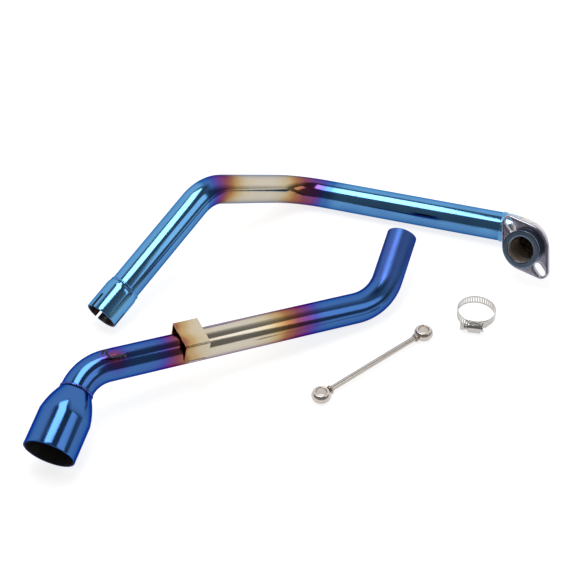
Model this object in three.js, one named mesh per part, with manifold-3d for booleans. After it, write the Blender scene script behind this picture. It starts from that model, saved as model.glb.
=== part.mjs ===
// Motorcycle exhaust kit laid out loose: a header pipe with its port flange, a link pipe
// with a flared outlet, a worm-drive clamp and a stay rod.
// Millimetres, +Z up, the floor at z = 0.

import * as THREE from 'three';
import { mergeVertices } from 'three/addons/utils/BufferGeometryUtils.js';
import Module from 'manifold-3d';

const wasm = await Module();
wasm.setup();

// ---------------------------------------------------------------- driving dimensions

const GAP = 0.3;                    // air left between touching pieces
const TUBE_R = 16;                  // both pipes are 32 mm tube
const TUBE_WALL = 1.5;
const TUBE_SIDES = 24;
const BEND_STEPS = 8;

// Header pipe: corner points of its centre line and the bend radius at each inner corner.
const HEADER_MOUTH = new THREE.Vector3(-192.6, -62.6, 16.7);
const HEADER_CORNERS = [new THREE.Vector3(-87.8, 71.4, 78.5), new THREE.Vector3(9.5, 155.4, 15.65)];
const HEADER_BENDS = [50, 58];
const ELBOW_CORNER = new THREE.Vector3(286.1, 68.8, 17.5);
const ELBOW_BEND = 36;
const ELBOW_LEG = 49.5;             // from the elbow's corner back to its weld
const PORT_AXIS = new THREE.Vector3(-0.531, -0.768, 0.359).normalize();
const PORT_LEG = 75.3;              // from the elbow's corner to the sealing face

const COLLAR_R = 17.75;
const COLLAR_BORE_R = TUBE_R + GAP;
const COLLAR_LENGTH = 37;
const COLLAR_SHOULDER = 3.5;
const COLLAR_LIP = 0.6;             // what is left of the collar's wall at its bead
const COLLAR_SOCKET = 24;           // depth that takes the link pipe
const SLOT_WIDTH = 2.8;
const SLOT_LENGTH = 17;
const SLOT_TURN = 105;              // degrees from the top of the collar to the first slot
const SLOT_COUNT = 3;

const RING_R = 20.6;
const RING_BORE_R = 14;
const RING_THICK = 10;
const RING_LIP = 3;                 // solid lip in front of the elbow's end

const PLATE_THICK = 6;
const PLATE_HOLE_R = 17;
const PLATE_MID_R = 26.3;
const PLATE_LOBE_R = 8.5;
const PLATE_LOBE_OUT = 30.6;
const PLATE_LONG = new THREE.Vector3(0.511, -0.656, -0.555);
const STUD_SPACING = 57;
const STUD_SLOT_WIDTH = 8.5;
const STUD_SLOT_LENGTH = 16;

// Link pipe.
const OUTLET_MOUTH = new THREE.Vector3(-219.9, -258.4, 24.2);
const LINK_CORNERS = [new THREE.Vector3(-192.5, -177.8, 51.8), new THREE.Vector3(95.9, -38.5, 13.4)];
const LINK_BENDS = [47, 60];
const LINK_END = new THREE.Vector3(122.1, 35.2, 43.4);

const OUTLET_R = 25.5;
const OUTLET_BARREL = 38;           // straight length behind the mouth
const OUTLET_LENGTH = 65.2;          // mouth to neck
const OUTLET_WALL = 1.5;
const CONE_BULGE = 1.35;            // how far the cone swells past a straight taper
const CONE_STEPS = 4;

const BRACKET_START = 94.5;         // from the first corner of the link pipe
const BRACKET_LENGTH = 25.5;
const BRACKET_TOP = 20.4;           // top face above the pipe's axis
const BRACKET_SHEET = 1.6;
const BRACKET_ROLL = 6;             // degrees towards the front
const BRACKET_FRONT_LEG = 20;
const BRACKET_REAR_LEG = 16;
const BRACKET_CORNER = 2.4;
const BRACKET_BEAD_R = 1.2;
const BRACKET_BEAD_OUT = 1.6;       // bead's middle outside the pipe
const BRACKET_BEAD_DROP = 2.2;      // bead's middle below the end of the leg
const BRACKET_BEAD_SHORT = 8;       // how much shorter than the bracket the bead is

const HOOK_WIRE_R = 1.2;
const HOOK_FROM_CORNER = 35;        // weld, measured along the pipe from the first corner
const HOOK_CLOCK = 25;              // degrees round the pipe from its top, towards the front
const HOOK_LEAN = -17;              // the way it rises off the pipe, from the top, to the rear
const HOOK_PATH = [[-2, 0], [6, 0], [11, 0.5], [14.6, 2.6]];  // back along the pipe, height
const HOOK_EYE = [18.1, 7];         // the eye's middle, back and height
const HOOK_EYE_R = 2.3;
const HOOK_EYE_OPENS = 50;          // degrees from the eye's foot to each end of its turn

// Clamp: a worm-drive hose clamp lying flat.
const CLAMP_CENTRE = new THREE.Vector3(197, -44.5, 5.8);
const BAND_R = 19.4;
const BAND_THICK = 0.7;
const BAND_WIDTH = 9;
const BAND_LEAD = -20;              // degrees before the housing that the band's root starts
const BAND_TAIL = 62;               // degrees that the free end runs past the band's root
const BAND_STEPS = 60;
const BAND_STEP_START = 300;        // degrees along the band where it begins to climb
const BAND_STEP_SPAN = 50;          // degrees it takes to climb over its own root
const HOUSING_TURN = -100.5;        // where the housing sits round the ring, degrees from +X
const HOUSING_LENGTH = 20;
const HOUSING_WIDTH = 11.6;
const HOUSING_WALL = 1.2;
const HOUSING_ROUND = 3.6;
const HOUSING_FOOT = 2;             // depth of the housing's saddle inside the band
const SCREW_R = 3.2;
const SCREW_ROOT_R = 2.6;
const SCREW_AXIS_R = 24.6;
const SCREW_PITCH = 2.6;
const SCREW_RIDGE = [[0, 0], [0.7, 1], [1.2, 1], [1.9, 0]];  // along, share of the thread's height
const SCREW_END_LAND = 1;
const SCREW_OUT = 0.5;              // plain shank showing under the head
const SCREW_HEAD_FLATS = 7;
const SCREW_HEAD_LENGTH = 4.6;
const SCREW_HEAD_LAP = 0.2;
const SCREW_SLOT_WIDTH = 1.2;
const SCREW_SLOT_DEPTH = 1;

// Stay rod: two ball-sided eyes joined by a rod, lying flat.
const STAY_LEFT = new THREE.Vector3(32.6, -164.4, 5);
const STAY_RIGHT = new THREE.Vector3(139.4, -75.6, 5);
const EYE_R = 10;
const EYE_HOLE_R = 5.5;
const EYE_THICK = 10;
const EYE_CHAMFER = 0.6;
const EYE_RIM = 2.6;                // width of the rounding at the eye's rim
const EYE_RIM_SIDE = [0.7, 1.9];    // a middle point of that rounding, in and down
const EYE_BEAD_OUT = 2.3;           // bead's middle outside the eye
const ROD_R = 2.9;

// Weld beads: height and width of each, and how much of a bead's width its crown is.
const COLLAR_BEAD = [0.7, 3];
const ELBOW_BEAD = [0.6, 4];
const CONE_BEAD = [0.6, 2.4];
const EYE_BEAD = [0.9, 3.2];
const BEAD_CROWN = 0.4;

// ---------------------------------------------------------------- finishes

const finish = (color, roughness, metalness = 1) =>
  new THREE.MeshStandardMaterial({ color, roughness, metalness });
const HEADER_BLUE = finish(0x4f9fd8, 0.15);
const LINK_BLUE = finish(0x2f45b8, 0.18);
const BARE_STEEL = finish(0xc9c6c0, 0.22);
const STRAW_STEEL = finish(0xcdb894, 0.3);
const WELD_STEEL = finish(0x8a7a70, 0.45);

// ---------------------------------------------------------------- helpers

const UP = new THREE.Vector3(0, 0, 1);
const rad = THREE.MathUtils.degToRad;
const kit = new THREE.Group();

function addMesh(name, geometry, material) {
  const mesh = new THREE.Mesh(geometry, material);
  mesh.name = name;
  kit.add(mesh);
  return mesh;
}

// A pipe's centre line: straight legs and round bends. Its parameter gives each leg one
// step and each bend BEND_STEPS steps, so a swept section has no needless rings.
class PipeRoute extends THREE.Curve {
  constructor(points, radii) {
    super();
    this.stations = [];
    const last = points.length - 1;
    this.push(points[0], points[1].clone().sub(points[0]).normalize());
    for (let i = 1; i < last; i += 1) {
      this.bend(points[i - 1], points[i], points[i + 1], radii[i - 1]);
    }
    this.push(points[last], points[last].clone().sub(points[last - 1]).normalize());
  }

  push(point, tangent) {
    this.stations.push({ point: point.clone(), tangent: tangent.clone() });
  }

  bend(before, corner, after, radius) {
    const into = corner.clone().sub(before).normalize();
    const out = after.clone().sub(corner).normalize();
    const turn = into.angleTo(out);
    const start = corner.clone().addScaledVector(into, -radius * Math.tan(turn / 2));
    const axis = into.clone().cross(out).normalize();
    const centre = start.clone().addScaledVector(axis.clone().cross(into), radius);
    for (let i = 0; i <= BEND_STEPS; i += 1) {
      const angle = (turn * i) / BEND_STEPS;
      const arm = start.clone().sub(centre).applyAxisAngle(axis, angle);
      this.push(centre.clone().add(arm), into.clone().applyAxisAngle(axis, angle));
    }
  }

  get steps() {
    return this.stations.length - 1;
  }

  getPointAt(u) {
    return this.stations[Math.round(u * this.steps)].point.clone();
  }

  getTangentAt(u) {
    return this.stations[Math.round(u * this.steps)].tangent.clone();
  }
}

function circlePoints(radius, sides) {
  return Array.from({ length: sides }, (_, i) => {
    const angle = (2 * Math.PI * i) / sides;
    return new THREE.Vector2(radius * Math.cos(angle), radius * Math.sin(angle));
  });
}

function sweptTube(route, outer, wall, sides = TUBE_SIDES) {
  const section = new THREE.Shape(circlePoints(outer, sides));
  if (wall > 0) {
    section.holes.push(new THREE.Path(circlePoints(outer - wall, sides)));
  }
  return new THREE.ExtrudeGeometry(section, { steps: route.steps, extrudePath: route });
}

// A ring turned about `axis`: profile points are [radius, distance along the axis].
function turned(profile, origin, axis, sides = TUBE_SIDES) {
  const points = profile.map(([radius, along]) => new THREE.Vector2(radius, along));
  if (THREE.ShapeUtils.area(points) < 0) points.reverse();
  points.push(points[0].clone());
  const geometry = new THREE.LatheGeometry(points, sides);
  const turn = new THREE.Quaternion().setFromUnitVectors(new THREE.Vector3(0, 1, 0), axis);
  return geometry.applyQuaternion(turn).translate(origin.x, origin.y, origin.z);
}

function weldBead(origin, axis, radius, [height, width]) {
  const inner = radius + GAP;
  const half = width / 2;
  const crown = half * BEAD_CROWN;
  const profile = [
    [inner, -half], [inner + height, -crown], [inner + height, crown], [inner, half],
  ];
  return turned(profile, origin, axis);
}

// A frame with its Z along `axis` and its X as near `towards` as it can be.
function frameMatrix(origin, axis, towards) {
  const z = axis.clone().normalize();
  const x = towards.clone().addScaledVector(z, -towards.dot(z)).normalize();
  const y = z.clone().cross(x);
  return new THREE.Matrix4().makeBasis(x, y, z).setPosition(origin);
}

// Stands an extrusion along +X: its section's x runs along Y and its section's y along Z.
const alongX = new THREE.Matrix4().makeBasis(
  new THREE.Vector3(0, 1, 0), new THREE.Vector3(0, 0, 1), new THREE.Vector3(1, 0, 0),
);

function toSolid(geometry) {
  const bare = geometry.clone();
  bare.deleteAttribute('normal');
  bare.deleteAttribute('uv');
  const merged = mergeVertices(bare, 1e-4);
  return new wasm.Manifold(new wasm.Mesh({
    numProp: 3,
    vertProperties: new Float32Array(merged.attributes.position.array),
    triVerts: new Uint32Array(merged.index.array),
  }));
}

function toGeometry(solid) {
  const mesh = solid.getMesh();
  const geometry = new THREE.BufferGeometry();
  geometry.setAttribute('position', new THREE.BufferAttribute(mesh.vertProperties, 3));
  geometry.setIndex(new THREE.BufferAttribute(mesh.triVerts, 1));
  return geometry;
}

function cut(geometry, tools) {
  return toGeometry(tools.reduce((solid, tool) => solid.subtract(toSolid(tool)), toSolid(geometry)));
}

function join(geometries) {
  const solids = geometries.map(toSolid);
  return toGeometry(solids.reduce((whole, solid) => whole.add(solid)));
}

// ---------------------------------------------------------------- header pipe

const collarAxis = HEADER_CORNERS[0].clone().sub(HEADER_MOUTH).normalize();
const elbowWay = ELBOW_CORNER.clone().sub(HEADER_CORNERS[1]).normalize();
const elbowStart = ELBOW_CORNER.clone().addScaledVector(elbowWay, -ELBOW_LEG);
const portCentre = ELBOW_CORNER.clone().addScaledVector(PORT_AXIS, PORT_LEG);

function headerTube() {
  const start = HEADER_MOUTH.clone().addScaledVector(collarAxis, COLLAR_SOCKET);
  const end = elbowStart.clone().addScaledVector(elbowWay, -GAP / 2);
  const route = new PipeRoute([start, ...HEADER_CORNERS, end], HEADER_BENDS);
  return sweptTube(route, TUBE_R, TUBE_WALL);
}

function slipCollar() {
  const body = turned([
    [COLLAR_BORE_R, 0], [COLLAR_BORE_R, COLLAR_LENGTH], [COLLAR_BORE_R + COLLAR_LIP, COLLAR_LENGTH],
    [COLLAR_R, COLLAR_LENGTH - COLLAR_SHOULDER], [COLLAR_R, 0],
  ], HEADER_MOUTH, collarAxis, 36);
  const place = frameMatrix(HEADER_MOUTH, collarAxis, UP);
  const slots = [];
  for (let i = 0; i < SLOT_COUNT; i += 1) {
    const round = new THREE.CylinderGeometry(SLOT_WIDTH / 2, SLOT_WIDTH / 2, 6, 12)
      .rotateZ(Math.PI / 2).translate(COLLAR_R, 0, SLOT_LENGTH - SLOT_WIDTH / 2);
    const straight = new THREE.BoxGeometry(6, SLOT_WIDTH, SLOT_LENGTH)
      .translate(COLLAR_R, 0, SLOT_LENGTH / 2 - SLOT_WIDTH / 2);
    const turn = rad(SLOT_TURN + (360 / SLOT_COUNT) * i);
    [round, straight].forEach((tool) => slots.push(tool.rotateZ(turn).applyMatrix4(place)));
  }
  return cut(body, slots);
}

function portElbow() {
  const start = elbowStart.clone().addScaledVector(elbowWay, GAP / 2);
  const end = portCentre.clone().addScaledVector(PORT_AXIS, -RING_LIP - GAP);
  const route = new PipeRoute([start, ELBOW_CORNER, end], [ELBOW_BEND]);
  return sweptTube(route, TUBE_R, TUBE_WALL);
}

function portRing() {
  return turned([
    [RING_BORE_R, 0], [RING_BORE_R, -RING_LIP], [TUBE_R + GAP, -RING_LIP],
    [TUBE_R + GAP, -RING_THICK], [RING_R, -RING_THICK], [RING_R, 0],
  ], portCentre, PORT_AXIS, 36);
}

addMesh('header_tube', headerTube(), HEADER_BLUE);
addMesh('slip_collar', slipCollar(), HEADER_BLUE);
const collarBeadAt = COLLAR_LENGTH + GAP + COLLAR_BEAD[1] / 2;
addMesh('collar_weld', weldBead(
  HEADER_MOUTH.clone().addScaledVector(collarAxis, collarBeadAt), collarAxis, TUBE_R, COLLAR_BEAD,
), HEADER_BLUE);
addMesh('port_elbow', portElbow(), BARE_STEEL);
addMesh('elbow_weld', weldBead(elbowStart, elbowWay, TUBE_R, ELBOW_BEAD), WELD_STEEL);
addMesh('port_ring', portRing(), BARE_STEEL);

// ---------------------------------------------------------------- port flange

function portFlange() {
  const tilt = Math.asin((PLATE_MID_R - PLATE_LOBE_R) / PLATE_LOBE_OUT);
  const outline = new THREE.Shape();
  const lobe = Math.PI / 2 - tilt;
  outline.absarc(PLATE_LOBE_OUT, 0, PLATE_LOBE_R, -lobe, lobe, false);
  outline.absarc(0, 0, PLATE_MID_R, lobe, Math.PI - lobe, false);
  outline.absarc(-PLATE_LOBE_OUT, 0, PLATE_LOBE_R, Math.PI - lobe, Math.PI + lobe, false);
  outline.absarc(0, 0, PLATE_MID_R, Math.PI + lobe, 2 * Math.PI - lobe, false);
  outline.holes.push(new THREE.Path(circlePoints(PLATE_HOLE_R, 36)));
  const half = STUD_SLOT_WIDTH / 2;
  const run = (STUD_SLOT_LENGTH - STUD_SLOT_WIDTH) / 2;
  [-1, 1].forEach((side) => {
    const middle = (side * STUD_SPACING) / 2;
    const slot = new THREE.Path();
    slot.absarc(middle + run, 0, half, -Math.PI / 2, Math.PI / 2, false);
    slot.absarc(middle - run, 0, half, Math.PI / 2, 1.5 * Math.PI, false);
    outline.holes.push(slot);
  });
  const plate = new THREE.ExtrudeGeometry(outline, {
    depth: PLATE_THICK, bevelEnabled: false, curveSegments: 8,
  });
  const back = portCentre.clone().addScaledVector(PORT_AXIS, -RING_THICK - GAP - PLATE_THICK);
  return plate.applyMatrix4(frameMatrix(back, PORT_AXIS, PLATE_LONG));
}

addMesh('port_flange', portFlange(), BARE_STEEL);

// ---------------------------------------------------------------- link pipe

const outletAxis = LINK_CORNERS[0].clone().sub(OUTLET_MOUTH).normalize();
const linkWay = LINK_CORNERS[1].clone().sub(LINK_CORNERS[0]).normalize();
const alongLink = (distance) => LINK_CORNERS[0].clone().addScaledVector(linkWay, distance);

function linkTube() {
  const start = OUTLET_MOUTH.clone().addScaledVector(outletAxis, OUTLET_LENGTH + GAP);
  const route = new PipeRoute([start, ...LINK_CORNERS, LINK_END], LINK_BENDS);
  return sweptTube(route, TUBE_R, TUBE_WALL);
}

// A barrel, then a cone that swells past a straight taper down to the neck.
function outletCone() {
  const outside = [];
  for (let i = 0; i <= CONE_STEPS; i += 1) {
    const share = i / CONE_STEPS;
    const swell = 4 * CONE_BULGE * share * (1 - share);
    const radius = OUTLET_R + (TUBE_R - OUTLET_R) * share + swell;
    outside.push([radius, OUTLET_BARREL + (OUTLET_LENGTH - OUTLET_BARREL) * share]);
  }
  const inside = outside.map(([radius, along]) => [radius - OUTLET_WALL, along]).reverse();
  return turned([
    [OUTLET_R, 0], ...outside, ...inside, [OUTLET_R - OUTLET_WALL, 0],
  ], OUTLET_MOUTH, outletAxis, 36);
}

// A direction square to the link pipe's long leg, turned from its top towards the front.
function linkTop(degrees) {
  const top = UP.clone().addScaledVector(linkWay, -UP.dot(linkWay)).normalize();
  return top.applyAxisAngle(linkWay, rad(degrees));
}

const BRACKET_INNER = TUBE_R + GAP;
const BRACKET_OUTER = BRACKET_INNER + BRACKET_SHEET;

// The bracket's own frame: X along the pipe, Z up through the top face, -Y to the front.
const bracketUp = linkTop(BRACKET_ROLL);
const bracketPlace = new THREE.Matrix4()
  .makeBasis(linkWay, bracketUp.clone().cross(linkWay), bracketUp)
  .setPosition(alongLink(BRACKET_START));

function standBracket() {
  const corner = BRACKET_CORNER;
  const section = new THREE.Shape();
  section.moveTo(-BRACKET_OUTER, BRACKET_TOP - BRACKET_FRONT_LEG);
  section.absarc(-BRACKET_OUTER + corner, BRACKET_TOP - corner, corner, Math.PI, Math.PI / 2, true);
  section.absarc(BRACKET_OUTER - corner, BRACKET_TOP - corner, corner, Math.PI / 2, 0, true);
  section.lineTo(BRACKET_OUTER, BRACKET_TOP - BRACKET_REAR_LEG);
  section.lineTo(BRACKET_INNER, BRACKET_TOP - BRACKET_REAR_LEG);
  section.lineTo(BRACKET_INNER, BRACKET_TOP - BRACKET_SHEET);
  section.lineTo(-BRACKET_INNER, BRACKET_TOP - BRACKET_SHEET);
  section.lineTo(-BRACKET_INNER, BRACKET_TOP - BRACKET_FRONT_LEG);
  const channel = new THREE.ExtrudeGeometry(section, {
    depth: BRACKET_LENGTH, bevelEnabled: false, curveSegments: 4,
  });
  return channel.applyMatrix4(alongX).applyMatrix4(bracketPlace);
}

// A fillet bead under the end of one leg, lying along the pipe.
function bracketWeld(side, legBottom) {
  const away = TUBE_R + BRACKET_BEAD_OUT;
  const turn = Math.asin((legBottom - BRACKET_BEAD_DROP) / away);
  const length = BRACKET_LENGTH - BRACKET_BEAD_SHORT;
  const bead = new THREE.CapsuleGeometry(BRACKET_BEAD_R, length, 3, 8).rotateZ(Math.PI / 2)
    .translate(BRACKET_LENGTH / 2, side * away * Math.cos(turn), away * Math.sin(turn));
  return bead.applyMatrix4(bracketPlace);
}

// The hook's wire: along the pipe from its weld, then up off it and round into an eye.
function springHook() {
  const root = alongLink(HOOK_FROM_CORNER)
    .addScaledVector(linkTop(HOOK_CLOCK), TUBE_R + GAP + HOOK_WIRE_R);
  const rise = linkTop(HOOK_LEAN);
  const at = (back, high) => root.clone().addScaledVector(linkWay, -back).addScaledVector(rise, high);
  const points = HOOK_PATH.map((place) => at(...place));
  for (let angle = HOOK_EYE_OPENS; angle <= 360 - HOOK_EYE_OPENS; angle += 26) {
    const turn = rad(angle);
    points.push(at(
      HOOK_EYE[0] - HOOK_EYE_R * Math.sin(turn), HOOK_EYE[1] - HOOK_EYE_R * Math.cos(turn),
    ));
  }
  const curve = new THREE.CatmullRomCurve3(points, false, 'centripetal');
  const section = new THREE.Shape(circlePoints(HOOK_WIRE_R, 8));
  return new THREE.ExtrudeGeometry(section, { steps: 28, extrudePath: curve });
}

addMesh('link_tube', linkTube(), LINK_BLUE);
addMesh('outlet_cone', outletCone(), LINK_BLUE);
const coneBeadAt = OUTLET_LENGTH + CONE_BEAD[1] / 2;
addMesh('cone_weld', weldBead(
  OUTLET_MOUTH.clone().addScaledVector(outletAxis, coneBeadAt), outletAxis, TUBE_R, CONE_BEAD,
), LINK_BLUE);
addMesh('stand_bracket', standBracket(), STRAW_STEEL);
addMesh('bracket_weld_front', bracketWeld(-1, BRACKET_TOP - BRACKET_FRONT_LEG), WELD_STEEL);
addMesh('bracket_weld_rear', bracketWeld(1, BRACKET_TOP - BRACKET_REAR_LEG), WELD_STEEL);
addMesh('spring_hook', springHook(), WELD_STEEL);

// ---------------------------------------------------------------- clamp

// The clamp housing's frame: X along the screw, Y up its width, Z out from the ring.
const housingOut = new THREE.Vector3(1, 0, 0).applyAxisAngle(UP, rad(HOUSING_TURN));
const screwWay = UP.clone().cross(housingOut).normalize();
const housingPlace = new THREE.Matrix4()
  .makeBasis(screwWay, housingOut.clone().cross(screwWay), housingOut).setPosition(CLAMP_CENTRE);

// A strip that winds out from the housing once round and past itself by its free tail.
function clampBand() {
  const outline = new THREE.Shape();
  const edge = (step, extra) => {
    const angle = ((360 + BAND_TAIL) * step) / BAND_STEPS;
    const climbed = THREE.MathUtils.clamp((angle - BAND_STEP_START) / BAND_STEP_SPAN, 0, 1);
    const radius = BAND_R + (BAND_THICK + GAP) * climbed + extra;
    const turn = rad(HOUSING_TURN + BAND_LEAD + angle);
    return [radius * Math.cos(turn), radius * Math.sin(turn)];
  };
  outline.moveTo(...edge(0, 0));
  for (let i = 0; i <= BAND_STEPS; i += 1) outline.lineTo(...edge(i, BAND_THICK));
  for (let i = BAND_STEPS; i > 0; i -= 1) outline.lineTo(...edge(i, 0));
  const strip = new THREE.ExtrudeGeometry(outline, { depth: BAND_WIDTH, bevelEnabled: false })
    .translate(0, 0, -BAND_WIDTH / 2);
  return strip.translate(CLAMP_CENTRE.x, CLAMP_CENTRE.y, CLAMP_CENTRE.z);
}

function clampHousing() {
  const half = HOUSING_WIDTH / 2;
  const topR = SCREW_AXIS_R + SCREW_R + GAP + HOUSING_WALL;
  const round = HOUSING_ROUND;
  const section = new THREE.Shape();
  section.moveTo(-half, BAND_R - HOUSING_FOOT);
  section.lineTo(half, BAND_R - HOUSING_FOOT);
  section.absarc(half - round, topR - round, round, 0, Math.PI / 2, false);
  section.absarc(-half + round, topR - round, round, Math.PI / 2, Math.PI, false);
  const block = new THREE.ExtrudeGeometry(section, {
    depth: HOUSING_LENGTH, bevelEnabled: false, curveSegments: 5,
  }).translate(0, 0, -HOUSING_LENGTH / 2).applyMatrix4(alongX);
  const bore = new THREE.CylinderGeometry(SCREW_R + GAP, SCREW_R + GAP, HOUSING_LENGTH * 2, 20)
    .rotateZ(Math.PI / 2).translate(0, 0, SCREW_AXIS_R);
  const outer = BAND_R + 2 * BAND_THICK + 2 * GAP;
  const inside = BAND_R - GAP;
  const bandSpace = new THREE.CylinderGeometry(outer, outer, BAND_WIDTH + 2 * GAP, 72);
  const pipeSpace = new THREE.CylinderGeometry(inside, inside, HOUSING_WIDTH * 2, 72);
  return cut(block, [bore, bandSpace, pipeSpace]).applyMatrix4(housingPlace);
}

function clampScrew() {
  const start = -HOUSING_LENGTH / 2 - SCREW_OUT;
  const end = HOUSING_LENGTH / 2 - SCREW_END_LAND;
  const points = [[0, start], [SCREW_ROOT_R, start]];
  const ridges = Math.floor((end - start - 2 * SCREW_END_LAND) / SCREW_PITCH);
  for (let i = 0; i < ridges; i += 1) {
    const foot = start + SCREW_END_LAND + i * SCREW_PITCH;
    SCREW_RIDGE.forEach(([along, share]) => {
      points.push([SCREW_ROOT_R + (SCREW_R - SCREW_ROOT_R) * share, foot + along]);
    });
  }
  points.push([SCREW_ROOT_R, end], [0, end]);
  const shank = new THREE.LatheGeometry(points.map((point) => new THREE.Vector2(...point)), 16)
    .rotateZ(-Math.PI / 2);
  const headR = SCREW_HEAD_FLATS / Math.sqrt(3);
  const face = start + SCREW_HEAD_LAP - SCREW_HEAD_LENGTH;
  const head = new THREE.CylinderGeometry(headR, headR, SCREW_HEAD_LENGTH, 6).rotateZ(Math.PI / 2)
    .translate(face + SCREW_HEAD_LENGTH / 2, 0, 0);
  const slot = new THREE.BoxGeometry(2 * SCREW_SLOT_DEPTH, SCREW_SLOT_WIDTH, 3 * headR)
    .translate(face, 0, 0);
  return cut(join([shank, head]), [slot]).translate(0, 0, SCREW_AXIS_R).applyMatrix4(housingPlace);
}

addMesh('clamp_band', clampBand(), BARE_STEEL);
addMesh('clamp_housing', clampHousing(), BARE_STEEL);
addMesh('clamp_screw', clampScrew(), BARE_STEEL);

// ---------------------------------------------------------------- stay rod

const stayWay = STAY_RIGHT.clone().sub(STAY_LEFT).normalize();

function stayEye(centre) {
  const half = EYE_THICK / 2;
  const [sideIn, sideDown] = EYE_RIM_SIDE;
  const upper = [
    [EYE_R - sideIn, half - sideDown], [EYE_R - EYE_RIM, half], [EYE_HOLE_R + EYE_CHAMFER, half],
    [EYE_HOLE_R, half - EYE_CHAMFER],
  ];
  const lower = upper.map(([radius, height]) => [radius, -height]).reverse();
  return turned([...lower, [EYE_R, 0], ...upper], centre, UP, 28);
}

function stayRod() {
  const length = STAY_LEFT.distanceTo(STAY_RIGHT) - 2 * (EYE_R + GAP);
  const rod = new THREE.CylinderGeometry(ROD_R, ROD_R, length, 16);
  const turn = new THREE.Quaternion().setFromUnitVectors(new THREE.Vector3(0, 1, 0), stayWay);
  const half = STAY_LEFT.clone().lerp(STAY_RIGHT, 0.5);
  return rod.applyQuaternion(turn).translate(half.x, half.y, half.z);
}

addMesh('stay_rod', stayRod(), BARE_STEEL);
[['left', STAY_LEFT, 1], ['right', STAY_RIGHT, -1]].forEach(([side, centre, way]) => {
  addMesh(`stay_eye_${side}`, stayEye(centre), BARE_STEEL);
  const root = centre.clone().addScaledVector(stayWay, way * (EYE_R + EYE_BEAD_OUT));
  addMesh(`stay_weld_${side}`, weldBead(root, stayWay, ROD_R, EYE_BEAD), WELD_STEEL);
});

// ---------------------------------------------------------------- origin

// The kit's origin is the middle of its footprint, on the floor.
const reach = new THREE.Box3().setFromObject(kit);
const footprint = reach.getCenter(new THREE.Vector3());
kit.position.set(-footprint.x, -footprint.y, -reach.min.z);
kit.updateMatrixWorld(true);

export default kit;
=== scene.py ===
import math

import bmesh
import bpy
import numpy as np
from bpy.props import (
    FloatProperty,
    FloatVectorProperty,
    IntProperty,
    PointerProperty,
)
from mathutils import Matrix, Vector, geometry


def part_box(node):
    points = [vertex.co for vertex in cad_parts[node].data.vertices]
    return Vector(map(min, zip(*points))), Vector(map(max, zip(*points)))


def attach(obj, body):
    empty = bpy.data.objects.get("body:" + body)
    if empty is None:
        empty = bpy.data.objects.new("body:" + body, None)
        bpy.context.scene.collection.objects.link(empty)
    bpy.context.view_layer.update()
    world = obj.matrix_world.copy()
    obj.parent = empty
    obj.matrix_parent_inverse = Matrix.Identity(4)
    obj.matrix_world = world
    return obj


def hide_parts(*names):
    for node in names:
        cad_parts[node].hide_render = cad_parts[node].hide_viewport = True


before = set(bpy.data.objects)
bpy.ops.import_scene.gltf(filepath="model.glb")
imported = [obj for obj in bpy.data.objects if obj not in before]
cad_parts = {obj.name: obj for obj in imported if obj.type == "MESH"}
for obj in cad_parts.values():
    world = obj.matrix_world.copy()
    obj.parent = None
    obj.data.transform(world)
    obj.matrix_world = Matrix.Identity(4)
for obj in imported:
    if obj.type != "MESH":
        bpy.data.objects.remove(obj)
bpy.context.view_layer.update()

bl_info = {
    "name": "Exhaust pipe kit",
    "version": (1, 0, 0),
    "blender": (4, 5, 0),
    "location": "View3D > Sidebar > Exhaust kit",
    "description": "Heat-tinted header and link pipes with flange, clamp and stay rod",
    "category": "Object",
}

UP = Vector((0, 0, 1))
GAP = 0.0003                     # air left between touching pieces
SHARP = math.radians(38)         # edges that turn further than this stay crisp
PIPE_SIDES = 96
PIPE_STEP = 0.003                # spacing of the rings along a pipe
TUBE_EDGE = 0.0003               # rounding of a cut tube's edges
EDGE_STEPS = 3                   # steps in the rounding of a sheet's edge
RIM_CLEARANCE = 0.55             # share of a step kept free between a sheet's rim and its grid
BEAD_REACH = 0.01                # a bead's route runs this far to each side of it
BEAD_OFF = 0.0013                # from the end of a welded part to the middle of its bead

# One eye of the stay rod gives the difference.
LAID_LEFT_EYE = Vector((0.0326, -0.1644, 0.005))
SHIFT = (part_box("stay_eye_left")[0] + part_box("stay_eye_left")[1]) / 2 - LAID_LEFT_EYE


# ------------------------------------------------------------------ sizes and colours


def size(name, default, about):
    """A length that a user may change."""
    return FloatProperty(name=name, description=about, default=default, precision=5,
                         unit="LENGTH")


def place(name, x, y, z, about):
    spot = Vector((x, y, z)) + SHIFT
    return FloatVectorProperty(name=name, description=about, default=spot, size=3,
                               subtype="XYZ", unit="LENGTH", precision=5)


def way(name, x, y, z, about):
    """A direction."""
    return FloatVectorProperty(name=name, description=about, default=(x, y, z), size=3,
                               subtype="DIRECTION")


def turn(name, degrees, about):
    """An angle."""
    return FloatProperty(name=name, description=about, default=math.radians(degrees),
                         subtype="ANGLE")


def tint(name, red, green, blue, about):
    """A reflected colour."""
    return FloatVectorProperty(name=name, description=about, default=(red, green, blue),
                               size=3, subtype="COLOR", min=0, max=1)


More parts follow.
